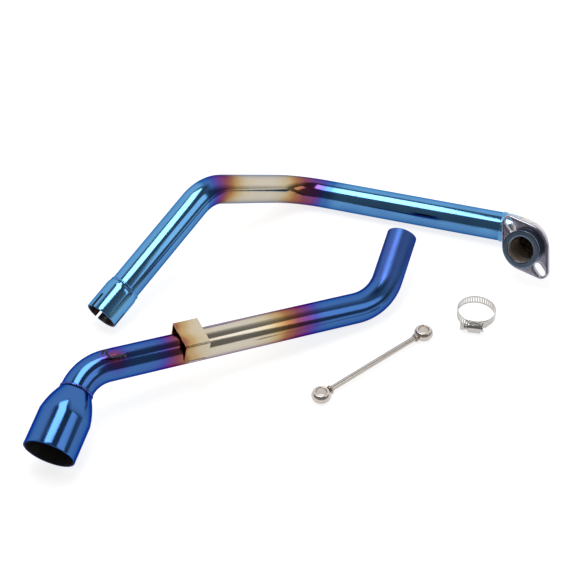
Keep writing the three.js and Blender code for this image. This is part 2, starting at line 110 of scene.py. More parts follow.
class HeaderSizes(bpy.types.PropertyGroup):
    tube: size("Tube radius", 0.016, "Outside radius of both pipes")
    wall: size("Tube wall", 0.0015, "Wall of both pipes")
    mouth: place("Mouth", -0.1926, -0.0626, 0.0167, "Centre of the collar's open end")
    high_corner: place("High corner", -0.0878, 0.0714, 0.0785, "Centre lines cross here")
    low_corner: place("Low corner", 0.0095, 0.1554, 0.01565, "Centre lines cross here")
    elbow_corner: place("Elbow corner", 0.2861, 0.0688, 0.0175, "Centre lines cross here")
    high_bend: size("High bend", 0.05, "Bend radius at the high corner")
    low_bend: size("Low bend", 0.058, "Bend radius at the low corner")
    elbow_bend: size("Elbow bend", 0.036, "Bend radius of the port elbow")
    elbow_leg: size("Elbow leg", 0.0495, "From the elbow's corner back to its weld")
    port_way: way("Port axis", -0.531, -0.768, 0.359, "Out of the port")
    port_leg: size("Port leg", 0.0753, "From the elbow's corner to the sealing face")


class CollarSizes(bpy.types.PropertyGroup):
    radius: size("Collar radius", 0.01775, "Outside radius")
    length: size("Collar length", 0.037, "Whole length")
    shoulder: size("Shoulder", 0.0038, "Swaged end that runs down on the pipe")
    socket: size("Socket", 0.024, "Depth that takes the link pipe")
    slot_width: size("Slot width", 0.0028, "Width of each saw slot")
    slot_length: size("Slot length", 0.017, "Length of each saw slot")
    slot_turn: turn("Slot turn", 105, "From the top of the collar to the first slot")
    slots: IntProperty(name="Slots", description="Number of slots", default=3)


class FlangeSizes(bpy.types.PropertyGroup):
    ring_radius: size("Ring radius", 0.0206, "Outside of the sealing ring")
    ring_bore: size("Ring bore", 0.014, "Bore of the sealing ring")
    ring_depth: size("Ring depth", 0.01, "Length of the sealing ring")
    ring_lip: size("Ring lip", 0.003, "Solid lip in front of the elbow")
    thick: size("Plate thickness", 0.006, "Thickness of the plate")
    hole: size("Plate hole", 0.017, "Radius of the middle hole")
    middle: size("Plate middle", 0.0263, "Radius of the plate's middle")
    lobe: size("Plate lobe", 0.0085, "Radius of the plate's ends")
    lobe_out: size("Lobe distance", 0.0306, "From the middle to the centre of an end")
    long_way: way("Plate axis", 0.511, -0.656, -0.555, "Along the plate's long side")
    studs: size("Stud spacing", 0.057, "Between the middles of the stud slots")
    slot_width: size("Stud slot width", 0.0085, "Width of a stud slot")
    slot_length: size("Stud slot length", 0.016, "Length of a stud slot")


class LinkSizes(bpy.types.PropertyGroup):
    mouth: place("Outlet mouth", -0.2199, -0.2584, 0.0242, "Centre of the outlet's rim")
    high_corner: place("High corner", -0.1925, -0.1778, 0.0518, "Centre lines cross here")
    low_corner: place("Low corner", 0.0959, -0.0385, 0.0134, "Centre lines cross here")
    far_end: place("Far end", 0.1221, 0.0352, 0.0434, "Centre of the open end")
    high_bend: size("High bend", 0.047, "Bend radius at the high corner")
    low_bend: size("Low bend", 0.06, "Bend radius at the low corner")
    outlet: size("Outlet radius", 0.0255, "Outside radius of the outlet")
    barrel: size("Outlet barrel", 0.038, "Straight part behind the rim")
    outlet_length: size("Outlet length", 0.0652, "Rim to neck")
    swell: size("Outlet swell", 0.00135, "How far the cone swells past a straight taper")


class BracketSizes(bpy.types.PropertyGroup):
    start: size("Start", 0.0945, "Along the long leg from its high corner")
    length: size("Length", 0.0255, "Along the pipe")
    top: size("Top", 0.0204, "Top face above the pipe's centre line")
    sheet: size("Sheet", 0.0016, "Sheet thickness")
    roll: turn("Roll", 6, "Turn towards the front")
    front_leg: size("Front leg", 0.02, "From the top face down")
    rear_leg: size("Rear leg", 0.016, "From the top face down")
    fold: size("Fold", 0.0024, "Outside radius of the folds")


class HookSizes(bpy.types.PropertyGroup):
    wire: size("Wire radius", 0.0012, "Radius of the wire")
    weld: size("Weld place", 0.035, "Along the long leg from its high corner")
    clock: turn("Clock angle", 25, "Round the pipe from its top, towards the front")
    lean: turn("Lean", -17, "The way it rises, from the top towards the rear")
    eye: size("Eye radius", 0.0023, "Radius of the curl's centre line")
    eye_back: size("Eye place", 0.0181, "From the weld back to the curl's middle")
    eye_high: size("Eye height", 0.007, "Curl's middle above the wire's straight part")
    opens: turn("Eye opening", 50, "From the curl's foot to each end of its turn")


class ClampSizes(bpy.types.PropertyGroup):
    centre: place("Centre", 0.197, -0.0445, 0.0058, "Centre of the ring")
    band: size("Band radius", 0.0194, "Inside radius of the band")
    thick: size("Band thickness", 0.0007, "Thickness of the band")
    width: size("Band width", 0.009, "Width of the band")
    lead: turn("Band lead", -20, "From the housing back to the band's root")
    tail: turn("Band tail", 62, "How far the free end runs past the root")
    housing_turn: turn("Housing place", -100.5, "Round the ring")
    housing_length: size("Housing length", 0.02, "Along the screw")
    housing_width: size("Housing width", 0.0116, "Across the band")
    screw: size("Screw radius", 0.0032, "Over the thread")
    root: size("Screw root", 0.0026, "Under the thread")
    screw_out: size("Screw distance", 0.0246, "From the ring's centre to the screw's axis")
    pitch: size("Pitch", 0.0026, "Of the worm thread")
    flats: size("Head flats", 0.007, "Across the hexagon")
    head: size("Head length", 0.0046, "Along the screw")


class StaySizes(bpy.types.PropertyGroup):
    left: place("Left eye", *LAID_LEFT_EYE, "Centre of the left eye")
    right: place("Right eye", 0.1394, -0.0756, 0.005, "Centre of the right eye")
    eye: size("Eye radius", 0.01, "Outside radius of an eye")
    hole: size("Eye hole", 0.0055, "Radius of its hole")
    thick: size("Eye thickness", 0.01, "Along its hole")
    rod: size("Rod radius", 0.0029, "Radius of the rod")


class HeatTints(bpy.types.PropertyGroup):
    """The oxide colours that stainless steel takes, from the coolest to the hottest."""

    silver: tint("Silver", 0.53, 0.49, 0.42, "Bare steel between the tints")
    straw: tint("Straw", 0.50, 0.43, 0.30, "First tint")
    gold: tint("Gold", 0.43, 0.29, 0.13, "Second tint")
    brown: tint("Brown", 0.30, 0.13, 0.055, "Third tint")
    magenta: tint("Magenta", 0.20, 0.055, 0.085, "Fourth tint")
    purple: tint("Purple", 0.13, 0.045, 0.20, "Fifth tint")
    indigo: tint("Indigo", 0.06, 0.065, 0.31, "Sixth tint")
    royal: tint("Royal blue", 0.042, 0.12, 0.33, "Seventh tint, all along the link pipe")
    sky: tint("Sky blue", 0.105, 0.285, 0.52, "Last tint, all along the header pipe")
    # near-black inside colour, painted shade within the pipes
    painted_shade_inside: tint("Inside", 0.035, 0.033, 0.032, "Inside of the pipes")
    stain: tint("Weld stain", 0.20, 0.13, 0.10, "Heat stain beside the welds")


class StudioSettings(bpy.types.PropertyGroup):
    aim: place("Aim", 0, 0, 0, "What the camera looks at")
    distance: size("Distance", 1.46, "Camera to aim")
    elevation: turn("Elevation", 41.35, "Camera above the horizon")
    lens: FloatProperty(name="Lens", description="Focal length in millimetres", default=85,
                        unit="CAMERA")
    ground: FloatProperty(name="Ground glow", description="Light given by the ground",
                          default=0.80)


GROUPS = {
    "header_sizes": HeaderSizes, "collar_sizes": CollarSizes, "flange_sizes": FlangeSizes,
    "link_sizes": LinkSizes, "bracket_sizes": BracketSizes, "hook_sizes": HookSizes,
    "clamp_sizes": ClampSizes, "stay_sizes": StaySizes, "heat_tints": HeatTints,
    "studio_settings": StudioSettings,
}


# ------------------------------------------------------------------ centre lines


class Route:
    """A pipe's centre line of straight legs and round bends, read by distance."""

    def __init__(self, corners, bends=()):
        corners = [Vector(c) for c in corners]
        ways = [(b - a).normalized() for a, b in zip(corners, corners[1:])]
        top = UP if abs(ways[0].z) < 0.99 else Vector((1, 0, 0))
        side = (top - ways[0] * top.dot(ways[0])).normalized()
        self.parts = []
        self.length = 0.0
        here = corners[0]
        for i, leg in enumerate(ways):
            end = corners[i + 1]
            if i < len(bends):
                corner_turn = leg.angle(ways[i + 1])
                end = end - leg * bends[i] * math.tan(corner_turn / 2)
            self.add((end - here).length, here, leg, side, None, 0.0)
            if i < len(bends):
                axis = leg.cross(ways[i + 1]).normalized()
                self.add(corner_turn * bends[i], end, leg, side, axis, bends[i])
                here, _, side = self.at(self.length)

    def add(self, length, start, leg, side, axis, radius):
        self.parts.append((self.length, start, leg, side, axis, radius))
        self.length += length

    def at(self, distance):
        """Point, direction and side at a distance from the start."""
        part = self.parts[0]
        for other in self.parts:
            if other[0] <= distance:
                part = other
        begin, start, leg, side, axis, radius = part
        run = distance - begin
        if axis is None:
            return start + leg * run, leg, side
        spin = Matrix.Rotation(run / radius, 3, axis)
        centre = start + axis.cross(leg) * radius
        return centre + spin @ (start - centre), spin @ leg, spin @ side


class Wire:
    """A smooth line through a few points, with a frame that doesn't twist."""

    def __init__(self, points, steps=10):
        knots = [points[0] * 2 - points[1], *points, points[-1] * 2 - points[-2]]
        line = []
        for a, b, c, d in zip(knots, knots[1:], knots[2:], knots[3:]):
            for k in range(steps):
                t = k / steps
                line.append(0.5 * (2 * b + (c - a) * t + (2 * a - 5 * b + 4 * c - d) * t * t
                                   + (3 * b - a - 3 * c + d) * t ** 3))
        line.append(points[-1])
        self.line = line
        self.marks = [0.0]
        for a, b in zip(line, line[1:]):
            self.marks.append(self.marks[-1] + (b - a).length)
        self.length = self.marks[-1]
        self.frames = []
        side = (line[1] - line[0]).orthogonal().normalized()
        for i in range(len(line)):
            leg = (line[min(i + 1, len(line) - 1)] - line[max(i - 1, 0)]).normalized()
            side = (side - leg * side.dot(leg)).normalized()
            self.frames.append((leg, side))

    def at(self, distance):
        distance = min(max(distance, 0.0), self.length)
        i = max(k for k, mark in enumerate(self.marks) if mark <= distance)
        j = min(i + 1, len(self.line) - 1)
        run = self.marks[j] - self.marks[i]
        share = (distance - self.marks[i]) / run if run > 0 else 0.0
        leg, side = self.frames[i]
        return self.line[i].lerp(self.line[j], share), leg, side


# ------------------------------------------------------------------ meshes


def soften(corners, steps=4):
    """A closed outline with rounded corners, from (along, out, rounding) corners."""
    path = []
    for i, (x, y, cut) in enumerate(corners):
        corner = Vector((x, y))
        if cut == 0:
            path.append(corner)
            continue
        before = Vector(corners[i - 1][:2])
        after = Vector(corners[(i + 1) % len(corners)][:2])
        start = corner + (before - corner).normalized() * cut
        end = corner + (after - corner).normalized() * cut
        for k in range(steps + 1):
            t = k / steps
            path.append(start * (1 - t) ** 2 + corner * 2 * t * (1 - t) + end * t * t)
    return path


def divide(path, step):
    """A closed outline with points added where two are further apart than a step."""
    whole = []
    for a, b in zip(path, path[1:] + path[:1]):
        count = max(1, math.ceil((b - a).length / step - 1e-6))
        whole += [a.lerp(b, k / count) for k in range(count)]
    return whole


def new_piece(made, finishes, body, slot, *nodes):
    """Links a mesh as a piece of its name that rides on a body and stands for CAD nodes."""
    piece = bpy.data.objects.new(made.name, made)
    bpy.context.scene.collection.objects.link(piece)
    for name in finishes:
        made.materials.append(finish(name))
    made.polygons.foreach_set("use_smooth", [True] * len(made.polygons))
    made.set_sharp_from_angle(angle=SHARP)
    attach(piece, body)
    if nodes:
        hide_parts(*nodes)


def mesh_from(name, bm, skin=None, heat=None):
    """A mesh from a bmesh, with each point's place on the straightened part and its heat."""
    bmesh.ops.recalc_face_normals(bm, faces=bm.faces)
    made = bpy.data.meshes.new(name)
    bm.to_mesh(made)
    bm.free()
    if skin:
        write_places(made, skin, heat)
    return made


def write_places(made, skin, heat):
    """Stores each point's place on the straightened part, and its heat."""
    for kind in ("skin", "warmth"):
        if kind in made.attributes:
            made.attributes.remove(made.attributes[kind])
    layer = made.attributes.new("skin", "FLOAT_VECTOR", "POINT")
    layer.data.foreach_set("vector", np.array(skin, np.float32).ravel())
    layer = made.attributes.new("warmth", "FLOAT", "POINT")
    layer.data.foreach_set("value", np.array(heat, np.float32))


def turned_mesh(name, route, profile, sides=PIPE_SIDES, closed=True, inner=0.0,
                reshape=None, heat=None):
    """A profile of (distance, radius) points turned about a route.

    Faces nearer the centre line than `inner` take the second finish. `reshape` gives a
    point's radius from (angle, distance, radius) and `heat` its heat from the same.
    """
    bm = bmesh.new()
    rings, skin, heats = [], [], []
    for distance, radius in profile:
        point, leg, side = route.at(distance)
        other = leg.cross(side)
        ring = []
        for k in range(sides):
            angle = math.tau * k / sides
            out = reshape(angle, distance, radius) if reshape else radius
            turned_side = side * math.cos(angle) + other * math.sin(angle)
            ring.append(bm.verts.new(point + turned_side * out))
            skin.append((radius * math.cos(angle), radius * math.sin(angle), distance))
            heats.append(heat(angle, distance, radius) if heat else 0.0)
        rings.append(ring)
    pairs = list(zip(rings, rings[1:]))
    radii = [r for _, r in profile]
    if closed:
        pairs.append((rings[-1], rings[0]))
    for i, (low, high) in enumerate(pairs):
        lined = radii[i] < inner and radii[(i + 1) % len(radii)] < inner
        for k in range(sides):
            m = (k + 1) % sides
            face = bm.faces.new((low[k], low[m], high[m], high[k]))
            face.material_index = 1 if lined else 0
    if not closed:
        bm.faces.new(rings[0])
        bm.faces.new(rings[-1])
    return mesh_from(name, bm, skin, heats)


def tube_profile(start, end, radius, wall, step=PIPE_STEP):
    """Outer wall, rounded end, inner wall and the other end of a cut tube."""
    bore = radius - wall
    return divide(soften([(start, radius, TUBE_EDGE), (end, radius, TUBE_EDGE),
                          (end, bore, TUBE_EDGE), (start, bore, TUBE_EDGE)]), step)


def inset(outline, amount):
    """An outline moved towards its left-hand side, point by point."""
    moved = []
    for i, point in enumerate(outline):
        along = (outline[(i + 1) % len(outline)] - outline[i - 1]).normalized()
        moved.append(point + Vector((-along.y, along.x)) * amount)
    return moved


def inside(points, outlines):
    """Which points lie inside the outlines taken together, holes left out."""
    found = np.zeros(len(points), bool)
    for outline in outlines:
        a = np.array([tuple(p) for p in outline])
        b = np.roll(a, -1, axis=0)
        x, y = points[:, :1], points[:, 1:]
        spans = (a[:, 1] > y) != (b[:, 1] > y)
        rise = np.where(b[:, 1] == a[:, 1], 1.0, b[:, 1] - a[:, 1])
        cross = a[:, 0] + (y - a[:, 1]) * (b[:, 0] - a[:, 0]) / rise
        found ^= (np.sum(spans & (x < cross), axis=1) % 2).astype(bool)
    return found


def cut_sheet_mesh(name, outlines, thick, edge, step, bend, heat=None):
    """A flat sheet with holes and rounded edges, then bent to shape.

    The outer outline runs anticlockwise and the holes clockwise. `bend` gives the place
    of a point from its place on the flat sheet and its height over the middle.
    """
    inner = [inset(outline, edge) for outline in outlines]
    flat = [p for outline in inner for p in outline]
    links, first = [], 0
    for outline in inner:
        count = len(outline)
        links += [(first + k, first + (k + 1) % count) for k in range(count)]
        first += count
    low = np.min([tuple(p) for p in flat], axis=0)
    high = np.max([tuple(p) for p in flat], axis=0)
    xs, ys = (np.arange(low[i] + step / 2, high[i], step) for i in (0, 1))
    grid = np.array([(x, y) for x in xs for y in ys]).reshape(-1, 2)
    rim = np.array([tuple(p) for p in flat])
    if len(grid):
        near = np.min(np.linalg.norm(grid[:, None] - rim[None], axis=2), axis=1)
        keep = inside(grid, inner) & (near > RIM_CLEARANCE * step)
        flat = flat + [Vector(p) for p in grid[keep]]
    points, _, faces, *_ = geometry.delaunay_2d_cdt(flat, links, [], 0, 1e-9)
    centres = np.array([tuple(sum((points[i] for i in f), Vector((0, 0))) / len(f))
                        for f in faces])
    faces = [f for f, kept in zip(faces, inside(centres, inner)) if kept]

    bm = bmesh.new()
    skin, heats = [], []

    def point(x, y, height):
        skin.append((x, height, y))
        heats.append(heat(x, y) if heat else 0.0)
        return bm.verts.new(bend(x, y, height))

    half = thick / 2
    top = [point(p.x, p.y, half) for p in points]
    bottom = [point(p.x, p.y, -half) for p in points]
    for f in faces:
        bm.faces.new([top[i] for i in f])
        bm.faces.new([bottom[i] for i in reversed(f)])
    first = 0
    bows = [math.pi / 2 * k / EDGE_STEPS for k in range(1, EDGE_STEPS + 1)]
    rounding = [(edge * (1 - math.sin(a)), half - edge * (1 - math.cos(a))) for a in bows]
    for outline in outlines:
        count = len(outline)
        loops = [top[first:first + count]]
        for drawn_in, height in rounding + [(d, -h) for d, h in reversed(rounding)]:
            loops.append([point(p.x, p.y, height) for p in inset(outline, drawn_in)])
        loops.append(bottom[first:first + count])
        for over, under in zip(loops, loops[1:]):
            for k in range(count):
                m = (k + 1) % count
                bm.faces.new((over[k], over[m], under[m], under[k]))
        first += count
    return mesh_from(name, bm, skin, heats)


def carve(made, cutters, origin, axis, side, heat):
    """A mesh with other solids cut out of it, its places on the part read again."""
    name = made.name
    scene = bpy.context.scene
    block = bpy.data.objects.new(name + "_block", made)
    scene.collection.objects.link(block)
    spares = [block]
    for cutter in cutters:
        tool = bpy.data.objects.new(name + "_tool", cutter)
        scene.collection.objects.link(tool)
        step = block.modifiers.new("cut", "BOOLEAN")
        step.operation = "DIFFERENCE"
        step.solver = "EXACT"
        step.object = tool
        spares.append(tool)
    graph = bpy.context.evaluated_depsgraph_get()
    carved = bpy.data.meshes.new_from_object(block.evaluated_get(graph))
    for spare in spares:
        spare_mesh = spare.data
        bpy.data.objects.remove(spare)
        bpy.data.meshes.remove(spare_mesh)
    carved.name = name
    if not carved.polygons:
        raise RuntimeError(f"{name} came out empty when it was cut")
    other = axis.cross(side)
    skin = []
    for corner in carved.vertices:
        reach = corner.co - origin
        skin.append((reach.dot(side), reach.dot(other), reach.dot(axis)))
    write_places(carved, skin, [heat] * len(skin))
    return carved


def prism_mesh(name, outline, depth, origin, x_way, y_way, z_way):
    """A solid with a flat outline, from one side of the origin to the other."""
    bm = bmesh.new()
    loops = []
    for z in (-depth / 2, depth / 2):
        loops.append([bm.verts.new(origin + x_way * p.x + y_way * p.y + z_way * z)
                      for p in outline])
    count = len(outline)
    for k in range(count):
        m = (k + 1) % count
        bm.faces.new((loops[0][k], loops[0][m], loops[1][m], loops[1][k]))
    bm.faces.new(loops[0])
    bm.faces.new(loops[1])
    return mesh_from(name, bm)


def arc(centre, radius, start, end, steps):
    """Points on an arc, its angles in degrees."""
    return [Vector(centre) + Vector((math.cos(a), math.sin(a))) * radius
            for a in np.radians(np.linspace(start, end, steps + 1))]


def ring_bead_mesh(name, spot, axis, radius, height, width, ripples, heat=0.0):
    """A rippled weld bead round a pipe, its middle at a spot."""
    foot = radius + GAP
    steps, fullness = 10, 0.8
    profile = [(BEAD_REACH + width / 2 * math.cos(math.pi * k / steps),
                foot + height * math.sin(math.pi * k / steps) ** fullness)
               for k in range(steps + 1)]
    plain = foot + 0.2 * height      # below this the bead isn't rippled
    depth, bow = 0.26, 0.9           # of the ripples

    def reshape(angle, distance, out):
        if out < plain:
            return out
        off_middle = (distance - BEAD_REACH) / width
        ripple = 0.5 + 0.5 * math.cos(ripples * angle + math.tau * bow * off_middle ** 2)
        wander = 0.12 * math.sin(3 * angle + 0.7) + 0.08 * math.sin(7 * angle)
        return foot + (out - foot) * (1 - depth + depth * ripple + wander)
    route = Route([spot - axis * BEAD_REACH, spot + axis * BEAD_REACH])
    return turned_mesh(name, route, profile, sides=max(PIPE_SIDES, 6 * ripples),
                       reshape=reshape, heat=lambda *_: heat)


def line_bead_mesh(name, start, end, radius, ripples):
    """A short rippled weld bead laid along a line."""
    route = Route([start, end])
    steps = max(24, ripples * 6)
    depth, thinnest = 0.12, 0.02     # of the ripples, and of the bead's ends
    profile = []
    for k in range(steps + 1):
        share = k / steps
        rounding = math.sqrt(max(0.0, 1 - (2 * share - 1) ** 6))
        wave = 1 - depth + depth * math.cos(math.tau * ripples * share)
        profile.append((share * route.length, radius * max(rounding * wave, thinnest)))
    return turned_mesh(name, route, profile, sides=24, closed=False)


def folded_down(y, height, flat_half, fold, top, flare=0.0):
    """Where a point of a sheet goes, across and up, when both its sides are folded down.

    y runs over the sheet from the middle of its top, and `fold` is the radius of the
    bends in the middle of the sheet. A flare lifts the top and the bends only.
    """
    run = abs(y)
    bend_end = flat_half + fold * math.pi / 2
    if run <= flat_half:
        across, high = run, top + height + flare
    elif run <= bend_end:
        angle = (run - flat_half) / fold
        bow = fold + height + flare
        across, high = flat_half + bow * math.sin(angle), top - fold + bow * math.cos(angle)
    else:
        across, high = flat_half + fold + height, top - fold - (run - bend_end)
    return math.copysign(across, y), high


# ------------------------------------------------------------------ finishes


def add_node(tree, kind, **values):
    """A shader node with its settings and input defaults set by name."""
    node = tree.nodes.new(kind)
    for key, value in values.items():
        if hasattr(node, key):
            setattr(node, key, value)
        else:
            node.inputs[key.replace("_", " ")].default_value = value
    return node


def start_finish(name, metallic=1.0, **values):
    """A finish's nodes and shader, its constant values set on the shader itself."""
    made = bpy.data.materials.new(name)
    made.use_nodes = True
    tree = made.node_tree
    shader = tree.nodes["Principled BSDF"]
    shader.inputs["Metallic"].default_value = metallic
    for key, value in values.items():
        shader.inputs[key.replace("_", " ")].default_value = value
    return tree, shader


def noise_of(tree, scale, stretch=(1, 1, 1), detail=3.0):
    """Noise of so many grains a metre on the straightened pipe, longer where stretched."""
    where = add_node(tree, "ShaderNodeAttribute", attribute_name="skin")
    spread = add_node(tree, "ShaderNodeVectorMath", operation="MULTIPLY")
    spread.inputs[1].default_value = stretch
    tree.links.new(where.outputs["Vector"], spread.inputs[0])
    noise = add_node(tree, "ShaderNodeTexNoise", Scale=scale, Detail=detail)
    tree.links.new(spread.outputs[0], noise.inputs["Vector"])
    return noise.outputs["Fac"]


def remap(tree, value, low, high, start=0.0, end=1.0):
    """A value moved from one range to another."""
    node = add_node(tree, "ShaderNodeMapRange")
    for key, number in (("From Min", start), ("From Max", end), ("To Min", low),
                        ("To Max", high)):
        node.inputs[key].default_value = number
    tree.links.new(value, node.inputs["Value"])
    return node.outputs["Result"]


def maths(tree, operation, *values):
    """A sum worked out from other nodes' values and plain numbers."""
    node = add_node(tree, "ShaderNodeMath", operation=operation)
    for socket, value in zip(node.inputs, values):
        if isinstance(value, (int, float)):
            socket.default_value = value
        else:
            tree.links.new(value, socket)
    return node.outputs[0]


def ramp_of(tree, value, stops):
    """A colour ramp through (place, colour) stops."""
    node = add_node(tree, "ShaderNodeValToRGB")
    ramp = node.color_ramp
    while len(ramp.elements) < len(stops):
        ramp.elements.new(0.5)
    for element, (spot, colour) in zip(ramp.elements, stops):
        element.position = spot
        element.color = (*colour, 1)
    tree.links.new(value, node.inputs["Fac"])
    return node.outputs["Color"]


def weighted(tree, first, first_share, second, second_share):
    """Two values added, each by its share."""
    return maths(tree, "ADD", maths(tree, "MULTIPLY", first, first_share),
                 maths(tree, "MULTIPLY", second, second_share))


def drawn_surface(tree, shader, low, high, lines, satin_from=None):
    """Uneven polish and faint lines drawn along the pipe, satin past a distance."""
    cloud = noise_of(tree, 60, (1, 1, 0.4))
    streak = noise_of(tree, 900, (1, 1, 0.03), detail=2.0)
    rough = remap(tree, weighted(tree, cloud, 0.6, streak, 0.4), low, high, 0.3, 0.7)
    if satin_from:
        satin, fade = 0.27, 0.03     # added roughness, and how soon it is reached
        where = add_node(tree, "ShaderNodeAttribute", attribute_name="skin")
        split = add_node(tree, "ShaderNodeSeparateXYZ")
        tree.links.new(where.outputs["Vector"], split.inputs[0])
        added = remap(tree, split.outputs["Z"], 0.0, satin, satin_from, satin_from + fade)
        rough = maths(tree, "ADD", rough, added)
    tree.links.new(rough, shader.inputs["Roughness"])
    bump = add_node(tree, "ShaderNodeBump", Strength=lines, Distance=0.0002)
    tree.links.new(streak, bump.inputs["Height"])
    tree.links.new(bump.outputs[0], shader.inputs["Normal"])


HEAT_LADDER = (("silver", 0.0), ("straw", 0.16), ("gold", 0.27), ("brown", 0.36),
               ("magenta", 0.45), ("purple", 0.53), ("indigo", 0.62), ("royal", 0.74),
               ("royal", 0.84), ("sky", 1.0))


def heat_finish(name, tints, low, high, lines, edge_tint, satin_from=None):
    """Polished stainless whose oxide colour follows the heat it has had."""
    tree, shader = start_finish(name, Specular_Tint=(*edge_tint, 1))
    heat = add_node(tree, "ShaderNodeAttribute", attribute_name="warmth").outputs["Fac"]
    blotch = maths(tree, "SUBTRACT", noise_of(tree, 45, (1, 1, 0.7)), 0.5)
    fine = maths(tree, "SUBTRACT", noise_of(tree, 260, (1, 1, 0.25)), 0.5)
    warmed = maths(tree, "ADD", heat, weighted(tree, blotch, 0.11, fine, 0.035))
    colour = ramp_of(tree, warmed, [(spot, getattr(tints, hue)) for hue, spot in HEAT_LADDER])
    tree.links.new(colour, shader.inputs["Base Color"])
    drawn_surface(tree, shader, low, high, lines, satin_from)


def mix_of(tree, share, first, second):
    """A colour between a colour or socket and a second colour."""
    mix = add_node(tree, "ShaderNodeMix", data_type="RGBA")
    tree.links.new(share, mix.inputs["Factor"])
    if isinstance(first, bpy.types.NodeSocket):
        tree.links.new(first, mix.inputs["A"])
    else:
        mix.inputs["A"].default_value = (*first, 1)
    mix.inputs["B"].default_value = (*second, 1)
    return mix.outputs["Result"]


def steel_finish(name, colour, stain, low, high, lines, mottle=0.35, scale=30,
                 grain=(1, 1, 1), blued=None):
    """Bare stainless with patchy polish and a light stain, blued where it was heated."""
    tree, shader = start_finish(name)
    patches = remap(tree, noise_of(tree, scale, grain), 0.0, mottle, 0.45, 0.75)
    shown = mix_of(tree, patches, colour, stain)
    if blued:
        heat = add_node(tree, "ShaderNodeAttribute", attribute_name="warmth").outputs["Fac"]
        shown = mix_of(tree, heat, shown, blued)
    tree.links.new(shown, shader.inputs["Base Color"])
    drawn_surface(tree, shader, low, high, lines)


def lining_finish(name, colour, stain, rough, scale=90, grain=(1, 1, 0.3)):
    """The dull inside of a pipe; near-black colours given here are painted shade."""
    tree, shader = start_finish(name, metallic=0.6)
    patches = remap(tree, noise_of(tree, scale, grain), 0.0, 1.0, 0.35, 0.7)
    shown = ramp_of(tree, patches, [(0.0, colour), (1.0, stain)])
    tree.links.new(shown, shader.inputs["Base Color"])
    drawn_surface(tree, shader, rough - 0.08, rough + 0.1, 0.2)


def make_finishes(tints):
    """Every finish: its colours, its roughness from and to, and how strong its lines are."""
    heat_finish("header_blue", tints, 0.08, 0.16, 0.012, edge_tint=(0.32, 0.40, 0.62))
    heat_finish("link_blue", tints, 0.09, 0.18, 0.02, edge_tint=(0.30, 0.24, 0.50),
                satin_from=0.405)
    heat_finish("bracket_steel", tints, 0.2, 0.28, 0.02, edge_tint=(0.9, 0.9, 0.9))
    across = {"scale": 420, "grain": (0.10, 0.10, 1.0)}
    steel_finish("elbow_steel", (0.62, 0.59, 0.56), (0.20, 0.17, 0.15), 0.08, 0.2, 0.10,
                 mottle=1.0, blued=tints.sky, **across)
    steel_finish("flange_steel", (0.36, 0.35, 0.42), (0.24, 0.21, 0.34), 0.10, 0.2, 0.06)
    steel_finish("rod_steel", (0.54, 0.50, 0.46), (0.38, 0.31, 0.26), 0.14, 0.24, 0.04)
    steel_finish("dark_ring_steel", (0.10, 0.14, 0.20), (0.2, 0.2, 0.24), 0.12, 0.25, 0.05)
    steel_finish("eye_steel", (0.56, 0.51, 0.47), (0.42, 0.34, 0.28), 0.16, 0.28, 0.05)
    steel_finish("clamp_steel", (0.50, 0.48, 0.46), (0.40, 0.36, 0.32), 0.12, 0.24, 0.05)
    steel_finish("wire_steel", (0.055, 0.055, 0.085), (0.07, 0.05, 0.05), 0.2, 0.32, 0.1,
                 mottle=1.0, scale=300)
    steel_finish("weld_steel", (0.46, 0.40, 0.36), tints.stain, 0.2, 0.4, 0.1,
                 mottle=1.0, scale=500)
    # The outlet, link and collar linings are near-black: painted shade inside the pipes.
    lining_finish("outlet_lining", tints.painted_shade_inside, (0.06, 0.06, 0.065), 0.42)
    lining_finish("link_lining", (0.05, 0.05, 0.06), (0.12, 0.10, 0.12), 0.35)
    lining_finish("port_lining", (0.78, 0.74, 0.68), (0.34, 0.24, 0.16), 0.20, **across)
    lining_finish("collar_lining", (0.045, 0.045, 0.05), (0.26, 0.11, 0.06), 0.30)


def finish(name):
    """One of the finishes, all of them made when the first is asked for."""
    if name not in bpy.data.materials:
        make_finishes(bpy.context.scene.heat_tints)
    return bpy.data.materials[name]


def heat_along(stops, skew=0.0, under=0.0):
    """Heat by distance along a pipe, from (millimetres, heat) stops.

    The tints stand further on by the skew at a pipe's top and further back at its
    underside. The underside also loses a share of the heat, which turns it a deeper,
    darker blue: this is painted shade.
    """
    marks = [mark / 1000 for mark, _ in stops]
    heats = [heat for _, heat in stops]

    def read(angle, distance, _radius):
        heat = float(np.interp(distance - skew * math.cos(angle), marks, heats))
        # the underside's lost heat darkens it as painted shade
        return heat * (1 - under * (0.5 - 0.5 * math.cos(angle)))
    return read


# ------------------------------------------------------------------ header pipe


class KitOperator(bpy.types.Operator):
    bl_options = {"REGISTER", "UNDO"}


# Heat at distances in millimetres from the collar's mouth.
HEADER_HEAT = [(0, 1.0), (164, 1.0), (170, 0.8), (177, 0.62), (184, 0.53), (192, 0.45),
               (201, 0.34), (213, 0.22), (231, 0.08), (260, 0.05), (276, 0.14), (290, 0.22),
               (299, 0.31), (309, 0.40), (322, 0.49), (336, 0.55), (346, 0.64),
               (356, 0.9), (368, 1.0), (700, 1.0)]
# The same, from the elbow's weld.
ELBOW_HEAT = [(0, 1), (8, 0.85), (22, 0)]


def header_route(scene):
    """The header's centre line, from the collar's mouth to the elbow's corner."""
    sizes = scene.header_sizes
    return Route([sizes.mouth, sizes.high_corner, sizes.low_corner, sizes.elbow_corner],
                 [sizes.high_bend, sizes.low_bend])


def elbow_start(scene):
    """Where the header pipe ends and the elbow begins, and the way it runs there."""
    sizes = scene.header_sizes
    leg = (Vector(sizes.elbow_corner) - Vector(sizes.low_corner)).normalized()
    return Vector(sizes.elbow_corner) - leg * sizes.elbow_leg, leg


